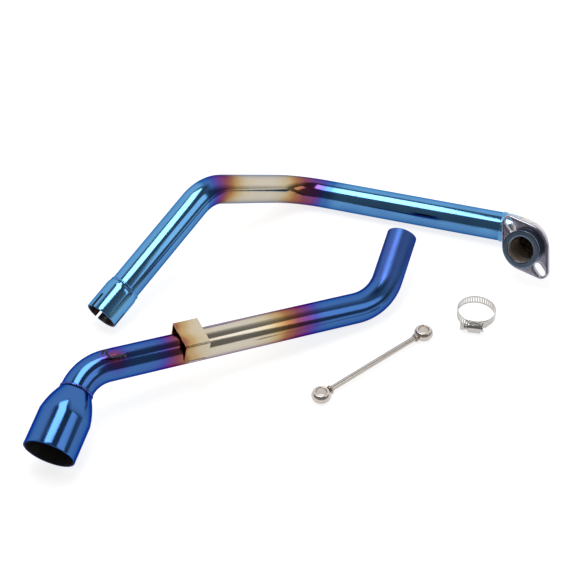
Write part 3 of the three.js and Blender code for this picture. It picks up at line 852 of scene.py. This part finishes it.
def port_frame(scene):
    """The sealing face's centre, its outward axis and the plate's long direction."""
    sizes, plate = scene.header_sizes, scene.flange_sizes
    axis = Vector(sizes.port_way).normalized()
    centre = Vector(sizes.elbow_corner) + axis * sizes.port_leg
    long_way = Vector(plate.long_way)
    long_way = (long_way - axis * long_way.dot(axis)).normalized()
    return centre, axis, long_way


class EXHAUST_OT_header_pipe(KitOperator):
    """Bend the header pipe and colour it by heat"""

    bl_idname = "exhaust.header_pipe"
    bl_label = "Header pipe"

    def execute(self, context):
        scene = context.scene
        sizes = scene.header_sizes
        route = header_route(scene)
        weld, _ = elbow_start(scene)
        end = route.length - (weld - route.at(route.length)[0]).length - GAP / 2
        profile = tube_profile(scene.collar_sizes.socket, end, sizes.tube, sizes.wall)
        # The underside's share darkens the pipe's lower side as painted shade.
        made = turned_mesh("header_pipe", route, profile, inner=sizes.tube - sizes.wall / 2,
                           heat=heat_along(HEADER_HEAT, skew=0.007, under=0.12))
        new_piece(made, ["header_blue", "collar_lining"], "header", "header_heat_blue",
                  "header_tube")
        return {"FINISHED"}


class EXHAUST_OT_slotted_collar(KitOperator):
    """Swage and slot the slip collar and weld it on"""

    bl_idname = "exhaust.slotted_collar"
    bl_label = "Slotted collar"

    def execute(self, context):
        scene = context.scene
        sizes, collar = scene.header_sizes, scene.collar_sizes
        route = header_route(scene)
        mouth, axis, side = route.at(0)
        bore = sizes.tube + GAP
        end = collar.length
        profile = divide(soften([
            (0, collar.radius, 0.0003), (end - collar.shoulder, collar.radius, 0.0018),
            (end - 0.0008, bore + 0.0007, 0.0004), (end, bore + 0.0005, 0.0002),
            (end, bore, 0.0002), (0, bore, 0.0003),
        ]), 0.002)
        made = turned_mesh("slotted_collar", route, profile,
                           inner=bore + (collar.radius - bore) / 3)
        made = carve(made, self.saw_cuts(collar, mouth, axis, side), mouth, axis, side, 1.0)
        new_piece(made, ["header_blue", "collar_lining"], "header", "header_heat_blue",
                  "slip_collar")
        bead = ring_bead_mesh("collar_bead", mouth + axis * (end + BEAD_OFF), axis,
                              sizes.tube, height=0.0008, width=0.003, ripples=26, heat=0.93)
        new_piece(bead, ["header_blue"], "header", "header_heat_blue", "collar_weld")
        return {"FINISHED"}

    def saw_cuts(self, collar, mouth, axis, side):
        """The slots, as solids that start ahead of the mouth and go through the wall."""
        half = collar.slot_width / 2
        ahead, depth = 0.004, 0.006
        outline = [Vector((-half, -ahead)), Vector((half, -ahead))]
        outline += arc((0, collar.slot_length - half), half, 0, 180, 16)
        other = axis.cross(side)
        cuts = []
        for k in range(collar.slots):
            angle = collar.slot_turn + math.tau * k / collar.slots
            out = side * math.cos(angle) + other * math.sin(angle)
            cuts.append(prism_mesh("slot", outline, depth, mouth + out * collar.radius,
                                   axis.cross(out), axis, out))
        return cuts


class EXHAUST_OT_port_elbow(KitOperator):
    """Bend the bare port elbow, with its weld bead and sealing ring"""

    bl_idname = "exhaust.port_elbow"
    bl_label = "Port elbow and ring"

    def execute(self, context):
        scene = context.scene
        sizes, plate = scene.header_sizes, scene.flange_sizes
        start, leg = elbow_start(scene)
        centre, axis, _ = port_frame(scene)
        end = centre - axis * (plate.ring_lip + GAP)
        route = Route([start + leg * GAP / 2, sizes.elbow_corner, end], [sizes.elbow_bend])
        profile = tube_profile(0, route.length, sizes.tube, sizes.wall, step=0.002)
        made = turned_mesh("elbow_pipe", route, profile, inner=sizes.tube - sizes.wall / 2,
                           heat=heat_along(ELBOW_HEAT))
        new_piece(made, ["elbow_steel", "port_lining"], "header", "polished_steel",
                  "port_elbow")
        bead = ring_bead_mesh("elbow_bead", start, leg, sizes.tube, height=0.0007,
                              width=0.0044, ripples=30, heat=1.0)
        new_piece(bead, ["elbow_steel"], "header", "weld_bead", "elbow_weld")
        self.ring(plate, sizes.tube + GAP, centre, axis)
        return {"FINISHED"}

    def ring(self, plate, seat, centre, axis):
        """The stepped ring that seals against the head, pushed on the elbow's end."""
        outside, bore = plate.ring_radius, plate.ring_bore
        lip, depth = -plate.ring_lip, -plate.ring_depth
        profile = divide(soften([
            (0, outside, 0.0006), (0, bore, 0.0008), (lip, bore, 0.0003),
            (lip, seat, 0.0002), (depth, seat, 0.0003), (depth, outside, 0.0006),
        ]), 0.0015)
        made = turned_mesh("sealing_ring", Route([centre, centre + axis * 0.01]), profile,
                           inner=bore + 0.0003)
        new_piece(made, ["dark_ring_steel", "port_lining"], "header", "polished_steel",
                  "port_ring")


class EXHAUST_OT_flange_plate(KitOperator):
    """Cut the two-stud flange plate"""

    bl_idname = "exhaust.flange_plate"
    bl_label = "Flange plate"

    def execute(self, context):
        sizes = context.scene.flange_sizes
        centre, axis, long_way = port_frame(context.scene)
        short_way = axis.cross(long_way)
        tilt = math.degrees(math.asin((sizes.middle - sizes.lobe) / sizes.lobe_out))
        lobe = 90 - tilt
        outline = arc((sizes.lobe_out, 0), sizes.lobe, -lobe, lobe, 28)
        outline += arc((0, 0), sizes.middle, lobe, 180 - lobe, 16)
        outline += arc((-sizes.lobe_out, 0), sizes.lobe, 180 - lobe, 180 + lobe, 28)
        outline += arc((0, 0), sizes.middle, 180 + lobe, 360 - lobe, 16)
        hole = arc((0, 0), sizes.hole, 360, 0, 96)[:-1]
        outlines = [divide(outline, 0.0012), hole]
        half = sizes.slot_width / 2
        run = (sizes.slot_length - sizes.slot_width) / 2
        for middle in (-sizes.studs / 2, sizes.studs / 2):
            slot = arc((middle + run, 0), half, 90, -90, 20)
            slot += arc((middle - run, 0), half, 270, 90, 20)
            outlines.append(divide(slot, 0.0008))
        back = centre - axis * (sizes.ring_depth + GAP + sizes.thick / 2)

        def stand(x, y, height):
            return back + long_way * x + short_way * y + axis * height
        made = cut_sheet_mesh("flange_plate", outlines, sizes.thick, 0.0014, 0.002, stand)
        new_piece(made, ["flange_steel"], "flange", "polished_steel", "port_flange")
        return {"FINISHED"}


# ------------------------------------------------------------------ link pipe


# Heat at distances in millimetres from the outlet's rim.
LINK_HEAT = [(0, 0.79), (64, 0.79), (80, 0.72), (96, 0.76), (128, 0.76), (150, 0.72),
             (160, 0.62), (167, 0.52), (173, 0.45), (181, 0.37), (190, 0.26), (202, 0.14),
             (216, 0.04), (250, 0.03), (262, 0.10), (272, 0.17), (283, 0.26), (291, 0.34),
             (299, 0.40), (307, 0.47), (315, 0.53), (323, 0.61), (333, 0.72), (350, 0.77),
             (400, 0.77), (425, 0.71), (600, 0.69)]
# Heat at distances in millimetres along the bracket.
BRACKET_HEAT = [(0, 0.38), (2, 0.34), (5, 0.29), (9, 0.26), (14, 0.19), (26, 0.10)]


def link_frame(scene):
    """The long leg's start and direction, and a way to find directions round it."""
    sizes = scene.link_sizes
    start = Vector(sizes.high_corner)
    leg = (Vector(sizes.low_corner) - start).normalized()
    top = (UP - leg * UP.dot(leg)).normalized()

    def round_from_top(angle):
        return Matrix.Rotation(angle, 3, leg) @ top
    return start, leg, round_from_top


def link_route(scene):
    """The link pipe's centre line, from the outlet's rim to the open end."""
    sizes = scene.link_sizes
    return Route([sizes.mouth, sizes.high_corner, sizes.low_corner, sizes.far_end],
                 [sizes.high_bend, sizes.low_bend])


class EXHAUST_OT_link_pipe(KitOperator):
    """Bend the link pipe and colour it by heat"""

    bl_idname = "exhaust.link_pipe"
    bl_label = "Link pipe"

    def execute(self, context):
        scene = context.scene
        sizes, tube = scene.link_sizes, scene.header_sizes
        route = link_route(scene)
        profile = tube_profile(sizes.outlet_length + GAP, route.length, tube.tube, tube.wall)
        along = heat_along(LINK_HEAT, skew=0.004)
        start, leg, round_from_top = link_frame(scene)
        hook = scene.hook_sizes
        ahead, spread, depth = 0.008, 0.0125, 0.40       # of the burn that the hook's weld left
        burn = (start + leg * (hook.weld - ahead)
                + round_from_top(hook.clock) * tube.tube)

        def heat(angle, distance, radius):
            point, way_on, side = route.at(distance)
            out = side * math.cos(angle) + way_on.cross(side) * math.sin(angle)
            reach = (point + out * radius - burn).length
            return along(angle, distance, radius) * (1 - depth * math.exp(-(reach / spread) ** 2))
        made = turned_mesh("link_pipe", route, profile, inner=tube.tube - tube.wall / 2,
                           heat=heat)
        new_piece(made, ["link_blue", "link_lining"], "link_pipe", "link_heat_blue",
                  "link_tube")
        return {"FINISHED"}


class EXHAUST_OT_outlet_bell(KitOperator):
    """Spin the flared outlet and weld it on"""

    bl_idname = "exhaust.outlet_bell"
    bl_label = "Outlet bell"

    def execute(self, context):
        sizes, tube = context.scene.link_sizes, context.scene.header_sizes
        length, barrel = sizes.outlet_length, sizes.barrel
        cone, cone_steps = [], 13
        for share in np.linspace(0, 1, cone_steps + 1)[:-1]:
            swelled = sizes.swell * 4 * share * (1 - share)
            radius = sizes.outlet + (tube.tube - sizes.outlet) * share + swelled
            cone.append((barrel + (length - barrel) * share, radius, 0))
        inside_cone = [(x, radius - tube.wall, 0) for x, radius, _ in reversed(cone)]
        profile = divide(soften([
            (0, sizes.outlet, 0.0005), *cone, (length, tube.tube, 0.0003),
            (length, tube.tube - tube.wall, 0.0003), *inside_cone,
            (0, sizes.outlet - tube.wall, 0.0005),
        ]), 0.002)
        route = link_route(context.scene)
        mouth, axis, _ = route.at(0)
        rim_heat, neck_heat = 0.79, 0.74

        def heat(angle, distance, radius):
            return rim_heat + (neck_heat - rim_heat) * min(1.0, distance / length)
        made = turned_mesh("outlet_bell", route, profile, sides=128, heat=heat)
        self.line(made, mouth, axis)
        new_piece(made, ["link_blue", "outlet_lining"], "link_pipe", "link_heat_blue",
                  "outlet_cone")
        bead = ring_bead_mesh("outlet_bead", mouth + axis * (length + BEAD_OFF), axis,
                              tube.tube, height=0.0006, width=0.0024, ripples=30, heat=0.66)
        new_piece(bead, ["link_blue"], "link_pipe", "link_heat_blue", "cone_weld")
        return {"FINISHED"}

    def line(self, made, mouth, axis):
        """Gives the lining to the faces that look at the centre line."""
        facing_in = -0.3
        for face in made.polygons:
            reach = face.center - mouth
            out = (reach - axis * reach.dot(axis)).normalized()
            if out.dot(face.normal) < facing_in:
                face.material_index = 1


class EXHAUST_OT_folded_bracket(KitOperator):
    """Fold the stand bracket over the link pipe and tack it down"""

    bl_idname = "exhaust.folded_bracket"
    bl_label = "Folded bracket"

    def execute(self, context):
        sizes, tube = context.scene.bracket_sizes, context.scene.header_sizes.tube
        start, leg, round_from_top = link_frame(context.scene)
        up = round_from_top(sizes.roll)
        back = up.cross(leg)
        origin = start + leg * sizes.start
        half_sheet = sizes.sheet / 2
        fold = sizes.fold - half_sheet
        flat_half = tube + GAP + half_sheet - fold
        top = sizes.top - half_sheet

        def bend(x, y, height):
            across, high = folded_down(y, height, flat_half, fold, top)
            return origin + leg * x + back * across + up * high

        def heat(x, y):
            wander = 2.2 * math.sin(260 * y + 1)     # of the tints' edges, in millimetres
            return float(np.interp(x * 1000 + wander, *zip(*BRACKET_HEAT)))
        bend_end = flat_half + fold * math.pi / 2
        low = -(bend_end + sizes.front_leg - sizes.fold)
        high = bend_end + sizes.rear_leg - sizes.fold
        step = 0.0006
        outline = divide([Vector((0, low)), Vector((sizes.length, low)),
                          Vector((sizes.length, high)), Vector((0, high))], step)
        made = cut_sheet_mesh("folded_bracket", [outline], sizes.sheet, 0.00025, step, bend,
                              heat)
        new_piece(made, ["bracket_steel"], "link_pipe", "straw_steel", "stand_bracket")
        for name, way_back, leg_down in (("front", -1, sizes.front_leg),
                                         ("rear", 1, sizes.rear_leg)):
            self.tack(name, origin, leg, back * way_back, up, leg_down)
        return {"FINISHED"}

    def tack(self, name, origin, leg, out, up, leg_down):
        """The bead under one leg of the bracket."""
        scene = bpy.context.scene
        sizes = scene.bracket_sizes
        away = scene.header_sizes.tube + 0.0012
        rise = math.asin((sizes.top - leg_down - 0.0016) / away)
        spot = origin + out * (away * math.cos(rise)) + up * (away * math.sin(rise))
        short = 0.003                    # the bead stops this far from the sheet's corners
        bead = line_bead_mesh("bracket_tack_" + name, spot + leg * short,
                              spot + leg * (sizes.length - short), 0.0014, 9)
        new_piece(bead, ["weld_steel"], "link_pipe", "weld_bead", "bracket_weld_" + name)


class EXHAUST_OT_wire_hook(KitOperator):
    """Bend the spring hook and tack it to the link pipe"""

    bl_idname = "exhaust.wire_hook"
    bl_label = "Spring hook"

    def execute(self, context):
        sizes, tube = context.scene.hook_sizes, context.scene.header_sizes.tube
        start, leg, round_from_top = link_frame(context.scene)
        base = start + leg * sizes.weld
        out = round_from_top(sizes.clock)
        rise = round_from_top(sizes.lean)
        root = base + out * (tube + GAP + sizes.wire)
        wire = Wire(self.bends(sizes, root, leg, rise))
        steps = 150
        profile = []
        for k in range(steps + 1):
            distance = wire.length * k / steps
            from_end = min(distance, wire.length - distance)
            rounding = math.sqrt(min(1.0, max(0.02, from_end / (sizes.wire * 0.8))))
            profile.append((distance, sizes.wire * rounding))
        made = turned_mesh("wire_hook", wire, profile, sides=24, closed=False)
        new_piece(made, ["wire_steel"], "link_pipe", "hook_steel", "spring_hook")
        side = leg.cross(out)
        # Each tack's place back from the weld and across the pipe, and its radius.
        tacks = ((-0.0012, 0.0013, 0.0017), (-0.0006, -0.0014, 0.0015),
                 (0.0028, 0.0013, 0.0011))
        for k, (back, across, radius) in enumerate(tacks, 1):
            high = math.sqrt(tube ** 2 - across ** 2) + radius * 0.35
            spot = base - leg * back + side * across + out * high
            half_run = leg * radius * 1.1
            bead = line_bead_mesh(f"hook_tack_{k}", spot - half_run, spot + half_run,
                                  radius, 2)
            new_piece(bead, ["wire_steel"], "link_pipe", "weld_bead")
        return {"FINISHED"}

    def bends(self, sizes, root, leg, rise):
        """The wire's straight foot, its rise and its curled eye."""
        points = [root - leg * back + rise * high for back, high in
                  ((-0.002, 0), (0.002, 0), (0.006, 0), (0.011, 0.0005), (0.0146, 0.0026))]
        curl = root - leg * sizes.eye_back + rise * sizes.eye_high
        for angle in np.linspace(sizes.opens, math.tau - sizes.opens, 11):
            points.append(curl + (leg * math.sin(angle) - rise * math.cos(angle)) * sizes.eye)
        return points


# ------------------------------------------------------------------ hose clamp


def clamp_frame(scene):
    """The ring's centre, and the housing's outward and screw directions."""
    sizes = scene.clamp_sizes
    out = Matrix.Rotation(sizes.housing_turn, 3, UP) @ Vector((1, 0, 0))
    return Vector(sizes.centre), out, UP.cross(out).normalized()


class EXHAUST_OT_perforated_band(KitOperator):
    """Roll the perforated clamp band"""

    bl_idname = "exhaust.perforated_band"
    bl_label = "Perforated band"

    def execute(self, context):
        sizes = context.scene.clamp_sizes
        centre = Vector(sizes.centre)
        root = sizes.housing_turn + sizes.lead
        middle = sizes.band + sizes.thick / 2
        length = (math.tau + sizes.tail) * middle
        lift = sizes.thick + GAP         # the free end lies over the root
        lift_from, lift_run = 300, 50    # degrees round the ring

        def roll(x, y, height):
            turned_by = x / middle
            rise = (math.degrees(turned_by) - lift_from) / lift_run
            radius = middle + lift * min(1.0, max(0.0, rise)) - height
            angle = root + turned_by
            return centre + Vector((radius * math.cos(angle), radius * math.sin(angle), y))
        half = sizes.width / 2
        outline = divide(soften([(0, -half, 0.0005), (length, -half, 0.003),
                                 (length, half, 0.003), (0, half, 0.0005)]), 0.001)
        made = cut_sheet_mesh("perforated_band", [outline, *self.slots(sizes, middle, length)],
                              sizes.thick, 0.00012, 0.0011, roll)
        new_piece(made, ["clamp_steel"], "clamp", "bright_steel", "clamp_band")
        return {"FINISHED"}

    def slots(self, sizes, middle, length):
        """The slanting slots that the worm runs in, from part of the way round."""
        reach, radius = 0.0026, 0.00062
        slant = 0.00035 / 0.003
        upright = arc((0, reach), radius, 180, 0, 6) + arc((0, -reach), radius, 0, -180, 6)
        first, last = middle * math.radians(152), length - 0.004
        for k in range(int((last - first) / sizes.pitch)):
            x = first + sizes.pitch * k
            yield divide([Vector((x + slant * p.y + p.x, p.y)) for p in upright], 0.0013)


class EXHAUST_OT_worm_housing(KitOperator):
    """Press the housing that holds the screw"""

    bl_idname = "exhaust.worm_housing"
    bl_label = "Worm housing"

    def execute(self, context):
        sizes = context.scene.clamp_sizes
        centre, out, screw_way = clamp_frame(context.scene)
        up = out.cross(screw_way)
        sheet, fold, headroom = 0.001, 0.0044, 0.0012
        flat_half = (sizes.housing_width - sheet) / 2 - fold
        top = sizes.screw_out + sizes.screw + GAP + headroom - sheet / 2
        skirt = top - fold - (sizes.band - GAP)
        half = sizes.housing_length / 2
        flared, flare_rise = 0.82, 0.0005        # the part that isn't flared, and the rise

        def press(x, y, height):
            flare = flare_rise * max(0.0, abs(x) / half - flared) / (1 - flared)
            across, high = folded_down(y, height, flat_half, fold, top, flare)
            return centre + screw_way * x + up * across + out * high
        bow = fold * math.pi / 2
        shoulder = flat_half + bow + 0.35 * skirt
        reach = flat_half + bow + skirt
        narrow = half * 0.66
        corners = []
        for x_way, y_way in ((-1, -1), (1, -1), (1, 1), (-1, 1)):
            wide = [(half * x_way, shoulder * y_way, 0.001),
                    (narrow * x_way, shoulder * y_way, 0.0008),
                    (narrow * x_way, reach * y_way, 0.0006)]
            corners += wide if x_way * y_way < 0 else wide[::-1]
        step = 0.0006
        windows = [divide(self.window(above, flat_half + bow * 0.86), step)
                   for above in (-1, 1)]
        made = cut_sheet_mesh("worm_housing", [divide(soften(corners), step), *windows],
                              sheet, 0.0002, step, press)
        new_piece(made, ["clamp_steel"], "clamp", "bright_steel", "clamp_housing")
        return {"FINISHED"}

    def window(self, above, out):
        """A bowed slit in one bend, run clockwise."""
        half_run, high, bow, sweep = 0.0056, 0.0011, 0.0009, 1.4
        near, far = [], []
        for x in np.linspace(-half_run, half_run, 20):
            curve = out + bow * math.cos(x / half_run * sweep)
            near.append(Vector((x, above * curve)))
            far.append(Vector((x, above * (curve + high))))
        slit = near + far[::-1]
        return slit[::-1] if above > 0 else slit


class EXHAUST_OT_worm_screw(KitOperator):
    """Turn the worm screw with its slotted hexagon head"""

    bl_idname = "exhaust.worm_screw"
    bl_label = "Worm screw"

    def execute(self, context):
        sizes = context.scene.clamp_sizes
        centre, out, screw_way = clamp_frame(context.scene)
        shank_start = -sizes.housing_length / 2 - 0.0005
        head_start = shank_start - sizes.head + 0.0002
        origin = centre + out * sizes.screw_out + screw_way * head_start
        route = Route([origin, origin + screw_way * 0.03])
        head = shank_start - head_start
        length = sizes.housing_length / 2 - 0.001 - head_start
        flat = sizes.flats / 2
        corner = flat / math.cos(math.pi / 6)
        washer = 0.0007
        run_in, run_out = 0.0015, 0.002          # over which the thread rises and dies away

        def shape(angle, distance, radius):
            if distance <= head - washer:
                facet = flat / math.cos((angle % (math.pi / 3)) - math.pi / 6)
                return min(facet, radius)
            if distance <= head + 0.0001:
                return radius
            turns = (distance - head) / sizes.pitch - angle / math.tau
            ridge = 0.5 + 0.5 * math.cos(math.tau * turns)
            ridge = min(1.0, max(0.0, (ridge - 0.35) / 0.3))
            ends = min(1.0, (distance - head) / run_in, (length - distance) / run_out)
            return min(radius, sizes.root + (sizes.screw - sizes.root) * ridge * max(0, ends))
        # The head's crowned end, its sides, its washer, the thread and the tip.
        marks = [(0.0, 0.0006), (0.0, flat * 0.8), (0.0001, flat * 0.98)]
        marks += [(x, flat + x * 1.9) for x in np.linspace(0.0002, 0.0006, 4)]
        marks += [(x, corner * 1.2) for x in np.linspace(0.0007, head - washer, 8)]
        marks += [(head - washer + 0.00002, corner * 0.92), (head - 0.0001, corner * 0.92),
                  (head, corner * 0.88), (head + 0.00005, sizes.root)]
        marks += [(x, sizes.screw) for x in np.arange(head + 0.0002, length - 0.0006, 0.00018)]
        marks += [(length - 0.0003, sizes.root * 0.9), (length, sizes.root * 0.7)]
        made = turned_mesh("worm_screw", route, marks, sides=72, closed=False, reshape=shape)
        _, _, side = route.at(0)
        slot_half, slot_deep, ahead = 0.0006, 0.0013, 0.002
        slot = [Vector((-ahead, -slot_half)), Vector((slot_deep, -slot_half)),
                Vector((slot_deep, slot_half)), Vector((-ahead, slot_half))]
        tool = prism_mesh("slot", slot, 0.02, origin, screw_way, screw_way.cross(side), side)
        made = carve(made, [tool], origin, screw_way, side, 0.0)
        new_piece(made, ["clamp_steel"], "screw", "bright_steel", "clamp_screw")
        return {"FINISHED"}


# ------------------------------------------------------------------ stay


class EXHAUST_OT_stay_rod(KitOperator):
    """Turn the stay rod's eyes, and weld them to the rod"""

    bl_idname = "exhaust.stay_rod"
    bl_label = "Stay rod"

    def execute(self, context):
        sizes = context.scene.stay_sizes
        left, right = Vector(sizes.left), Vector(sizes.right)
        along = (right - left).normalized()
        self.eye("left", sizes, left, along)
        self.eye("right", sizes, right, -along)
        reach = along * (sizes.eye + GAP)
        rod = Route([left + reach, right - reach])
        edge, step = 0.0004, 0.003
        profile = [(0, sizes.rod - edge), (edge, sizes.rod)]
        profile += [(x, sizes.rod) for x in np.arange(step, rod.length - step, step)]
        profile += [(rod.length - edge, sizes.rod), (rod.length, sizes.rod - edge)]
        made = turned_mesh("stay_bar", rod, profile, sides=40, closed=False)
        new_piece(made, ["rod_steel"], "stay", "bright_steel", "stay_rod")
        return {"FINISHED"}

    def eye(self, name, sizes, centre, way_in):
        """A turned eye with a domed rim and flat faces, and its bead to the rod."""
        middle = 0.01                    # from the route's start to the eye's middle
        half = sizes.thick / 2
        face, hip, chamfer = 0.0076, 0.0026, 0.0004
        dome = sizes.eye - 0.0006
        profile = divide(soften([
            (middle - half, sizes.hole + chamfer, 0.0004), (middle - half, face, 0.0006),
            (middle - hip, dome, 0.0019), (middle, sizes.eye, 0.0016),
            (middle + hip, dome, 0.0019), (middle + half, face, 0.0006),
            (middle + half, sizes.hole + chamfer, 0.0004),
            (middle + half - 0.0006, sizes.hole, 0.0002),
            (middle - half + 0.0006, sizes.hole, 0.0002),
        ], steps=6), 0.0012)
        route = Route([centre - UP * middle, centre + UP * middle])
        made = turned_mesh(f"{name}_eye", route, profile, sides=72)
        new_piece(made, ["eye_steel"], "stay", "bright_steel", f"stay_eye_{name}")
        bead = ring_bead_mesh(f"{name}_eye_bead", centre + way_in * (sizes.eye + 0.0014),
                              way_in, sizes.rod, height=0.0013, width=0.0036, ripples=9)
        new_piece(bead, ["weld_steel"], "stay", "weld_bead", f"stay_weld_{name}")


# ------------------------------------------------------------------ studio


class EXHAUST_OT_studio(KitOperator):
    """Set out the pale ground, the soft lights and the camera"""

    bl_idname = "exhaust.studio"
    bl_label = "Studio"

    def execute(self, context):
        scene = context.scene
        settings = scene.studio_settings
        aim = Vector(settings.aim)
        self.ground(settings)
        self.surroundings(scene)
        self.softbox("top_light", aim + Vector((-0.20, 0.10, 1.30)), (0.62, 0.85), 5.7,
                     Vector((0, 0, -1)))
        away, target = Vector((0.70, -0.33, 0.62)), aim + Vector((0.05, 0, 0))
        self.softbox("strip_light", target + away * 1.6, (0.52, 1.0), 1.6, -away)
        camera = bpy.data.objects.new("camera", bpy.data.cameras.new("camera"))
        scene.collection.objects.link(camera)
        camera.data.lens = settings.lens
        camera.data.sensor_width = 36
        camera.data.clip_start, camera.data.clip_end = 0.05, 50
        back = Vector((0, -math.cos(settings.elevation), math.sin(settings.elevation)))
        camera.location = aim + back * settings.distance
        camera.rotation_euler = (-back).to_track_quat("-Z", "Y").to_euler()
        scene.camera = camera
        scene.view_settings.view_transform = "Standard"
        return {"FINISHED"}

    def ground(self, settings):
        """A wide, matt, softly glowing disc just under the pieces."""
        bm = bmesh.new()
        bmesh.ops.create_circle(bm, cap_ends=True, segments=96, radius=6.0)
        made = mesh_from("ground", bm)
        ground = bpy.data.objects.new("ground", made)
        bpy.context.scene.collection.objects.link(ground)
        ground.location.z = -0.0004
        tree, shader = start_finish(
            "ground_paper", metallic=0.0, Roughness=1.0, Specular_IOR_Level=0.0,
            Emission_Color=(1, 1, 1, 1), Emission_Strength=settings.ground)
        grain = add_node(tree, "ShaderNodeTexNoise", Scale=3.0)
        tone = remap(tree, grain.outputs["Fac"], 0.36, 0.39)
        tree.links.new(tone, shader.inputs["Base Color"])
        made.materials.append(bpy.data.materials["ground_paper"])

    def surroundings(self, scene):
        """Bright walls behind, dark ones in front, and a dark ceiling."""
        world = bpy.data.worlds.new("studio_walls")
        scene.world = world
        world.use_nodes = True
        tree = world.node_tree
        tree.nodes.clear()
        where = add_node(tree, "ShaderNodeTexCoord")
        split = add_node(tree, "ShaderNodeSeparateXYZ")
        tree.links.new(where.outputs["Generated"], split.inputs[0])
        dim, bright = 0.25, 1.5          # the walls in front and behind
        low = 0.2                        # what the ceiling keeps
        behind = remap(tree, split.outputs["Y"], dim, bright, -0.05, 0.35)
        high = remap(tree, split.outputs["Z"], 1.0, 0.0, 0.78, 0.9)
        walls = maths(tree, "MULTIPLY", maths(tree, "SUBTRACT", behind, low), high)
        level = maths(tree, "ADD", walls, low)
        seen = add_node(tree, "ShaderNodeLightPath")
        mix = add_node(tree, "ShaderNodeMix", data_type="FLOAT")
        tree.links.new(seen.outputs["Is Camera Ray"], mix.inputs["Factor"])
        tree.links.new(level, mix.inputs["A"])
        mix.inputs["B"].default_value = 1.0
        glow = add_node(tree, "ShaderNodeBackground")
        tree.links.new(mix.outputs["Result"], glow.inputs["Strength"])
        end = add_node(tree, "ShaderNodeOutputWorld")
        tree.links.new(glow.outputs[0], end.inputs["Surface"])

    def softbox(self, name, spot, size_xy, glow, towards):
        """A rectangular light whose face shines at a given level."""
        light = bpy.data.lights.new(name, "AREA")
        light.shape = "RECTANGLE"
        light.size, light.size_y = size_xy
        light.energy = glow * math.pi * size_xy[0] * size_xy[1]
        lamp = bpy.data.objects.new(name, light)
        bpy.context.scene.collection.objects.link(lamp)
        lamp.location = spot
        lamp.rotation_euler = towards.to_track_quat("-Z", "Y").to_euler()
        lamp.visible_camera = False


# ------------------------------------------------------------------ panel and registration


OPERATORS = (
    EXHAUST_OT_header_pipe, EXHAUST_OT_slotted_collar, EXHAUST_OT_port_elbow,
    EXHAUST_OT_flange_plate, EXHAUST_OT_link_pipe, EXHAUST_OT_outlet_bell,
    EXHAUST_OT_folded_bracket, EXHAUST_OT_wire_hook, EXHAUST_OT_perforated_band,
    EXHAUST_OT_worm_housing, EXHAUST_OT_worm_screw, EXHAUST_OT_stay_rod,
    EXHAUST_OT_studio,
)


class EXHAUST_PT_kit(bpy.types.Panel):
    bl_idname = "EXHAUST_PT_kit"
    bl_label = "Exhaust pipe kit"
    bl_space_type = "VIEW_3D"
    bl_region_type = "UI"
    bl_category = "Exhaust kit"

    def draw(self, context):
        layout = self.layout
        for operator in OPERATORS:
            layout.operator(operator.bl_idname)
        for name, group in GROUPS.items():
            box = layout.box()
            box.label(text=name.replace("_", " ").capitalize())
            settings = getattr(context.scene, name)
            for key in group.__annotations__:
                box.prop(settings, key)


def register():
    for group in GROUPS.values():
        bpy.utils.register_class(group)
    for name, group in GROUPS.items():
        setattr(bpy.types.Scene, name, PointerProperty(type=group))
    for operator in OPERATORS:
        bpy.utils.register_class(operator)
    bpy.utils.register_class(EXHAUST_PT_kit)


def unregister():
    bpy.utils.unregister_class(EXHAUST_PT_kit)
    for operator in reversed(OPERATORS):
        bpy.utils.unregister_class(operator)
    for name in GROUPS:
        delattr(bpy.types.Scene, name)
    for group in reversed(GROUPS.values()):
        bpy.utils.unregister_class(group)


def main():
    register()
    for operator in OPERATORS:
        group, name = operator.bl_idname.split(".")
        getattr(getattr(bpy.ops, group), name)()


if __name__ == "__main__":
    main()
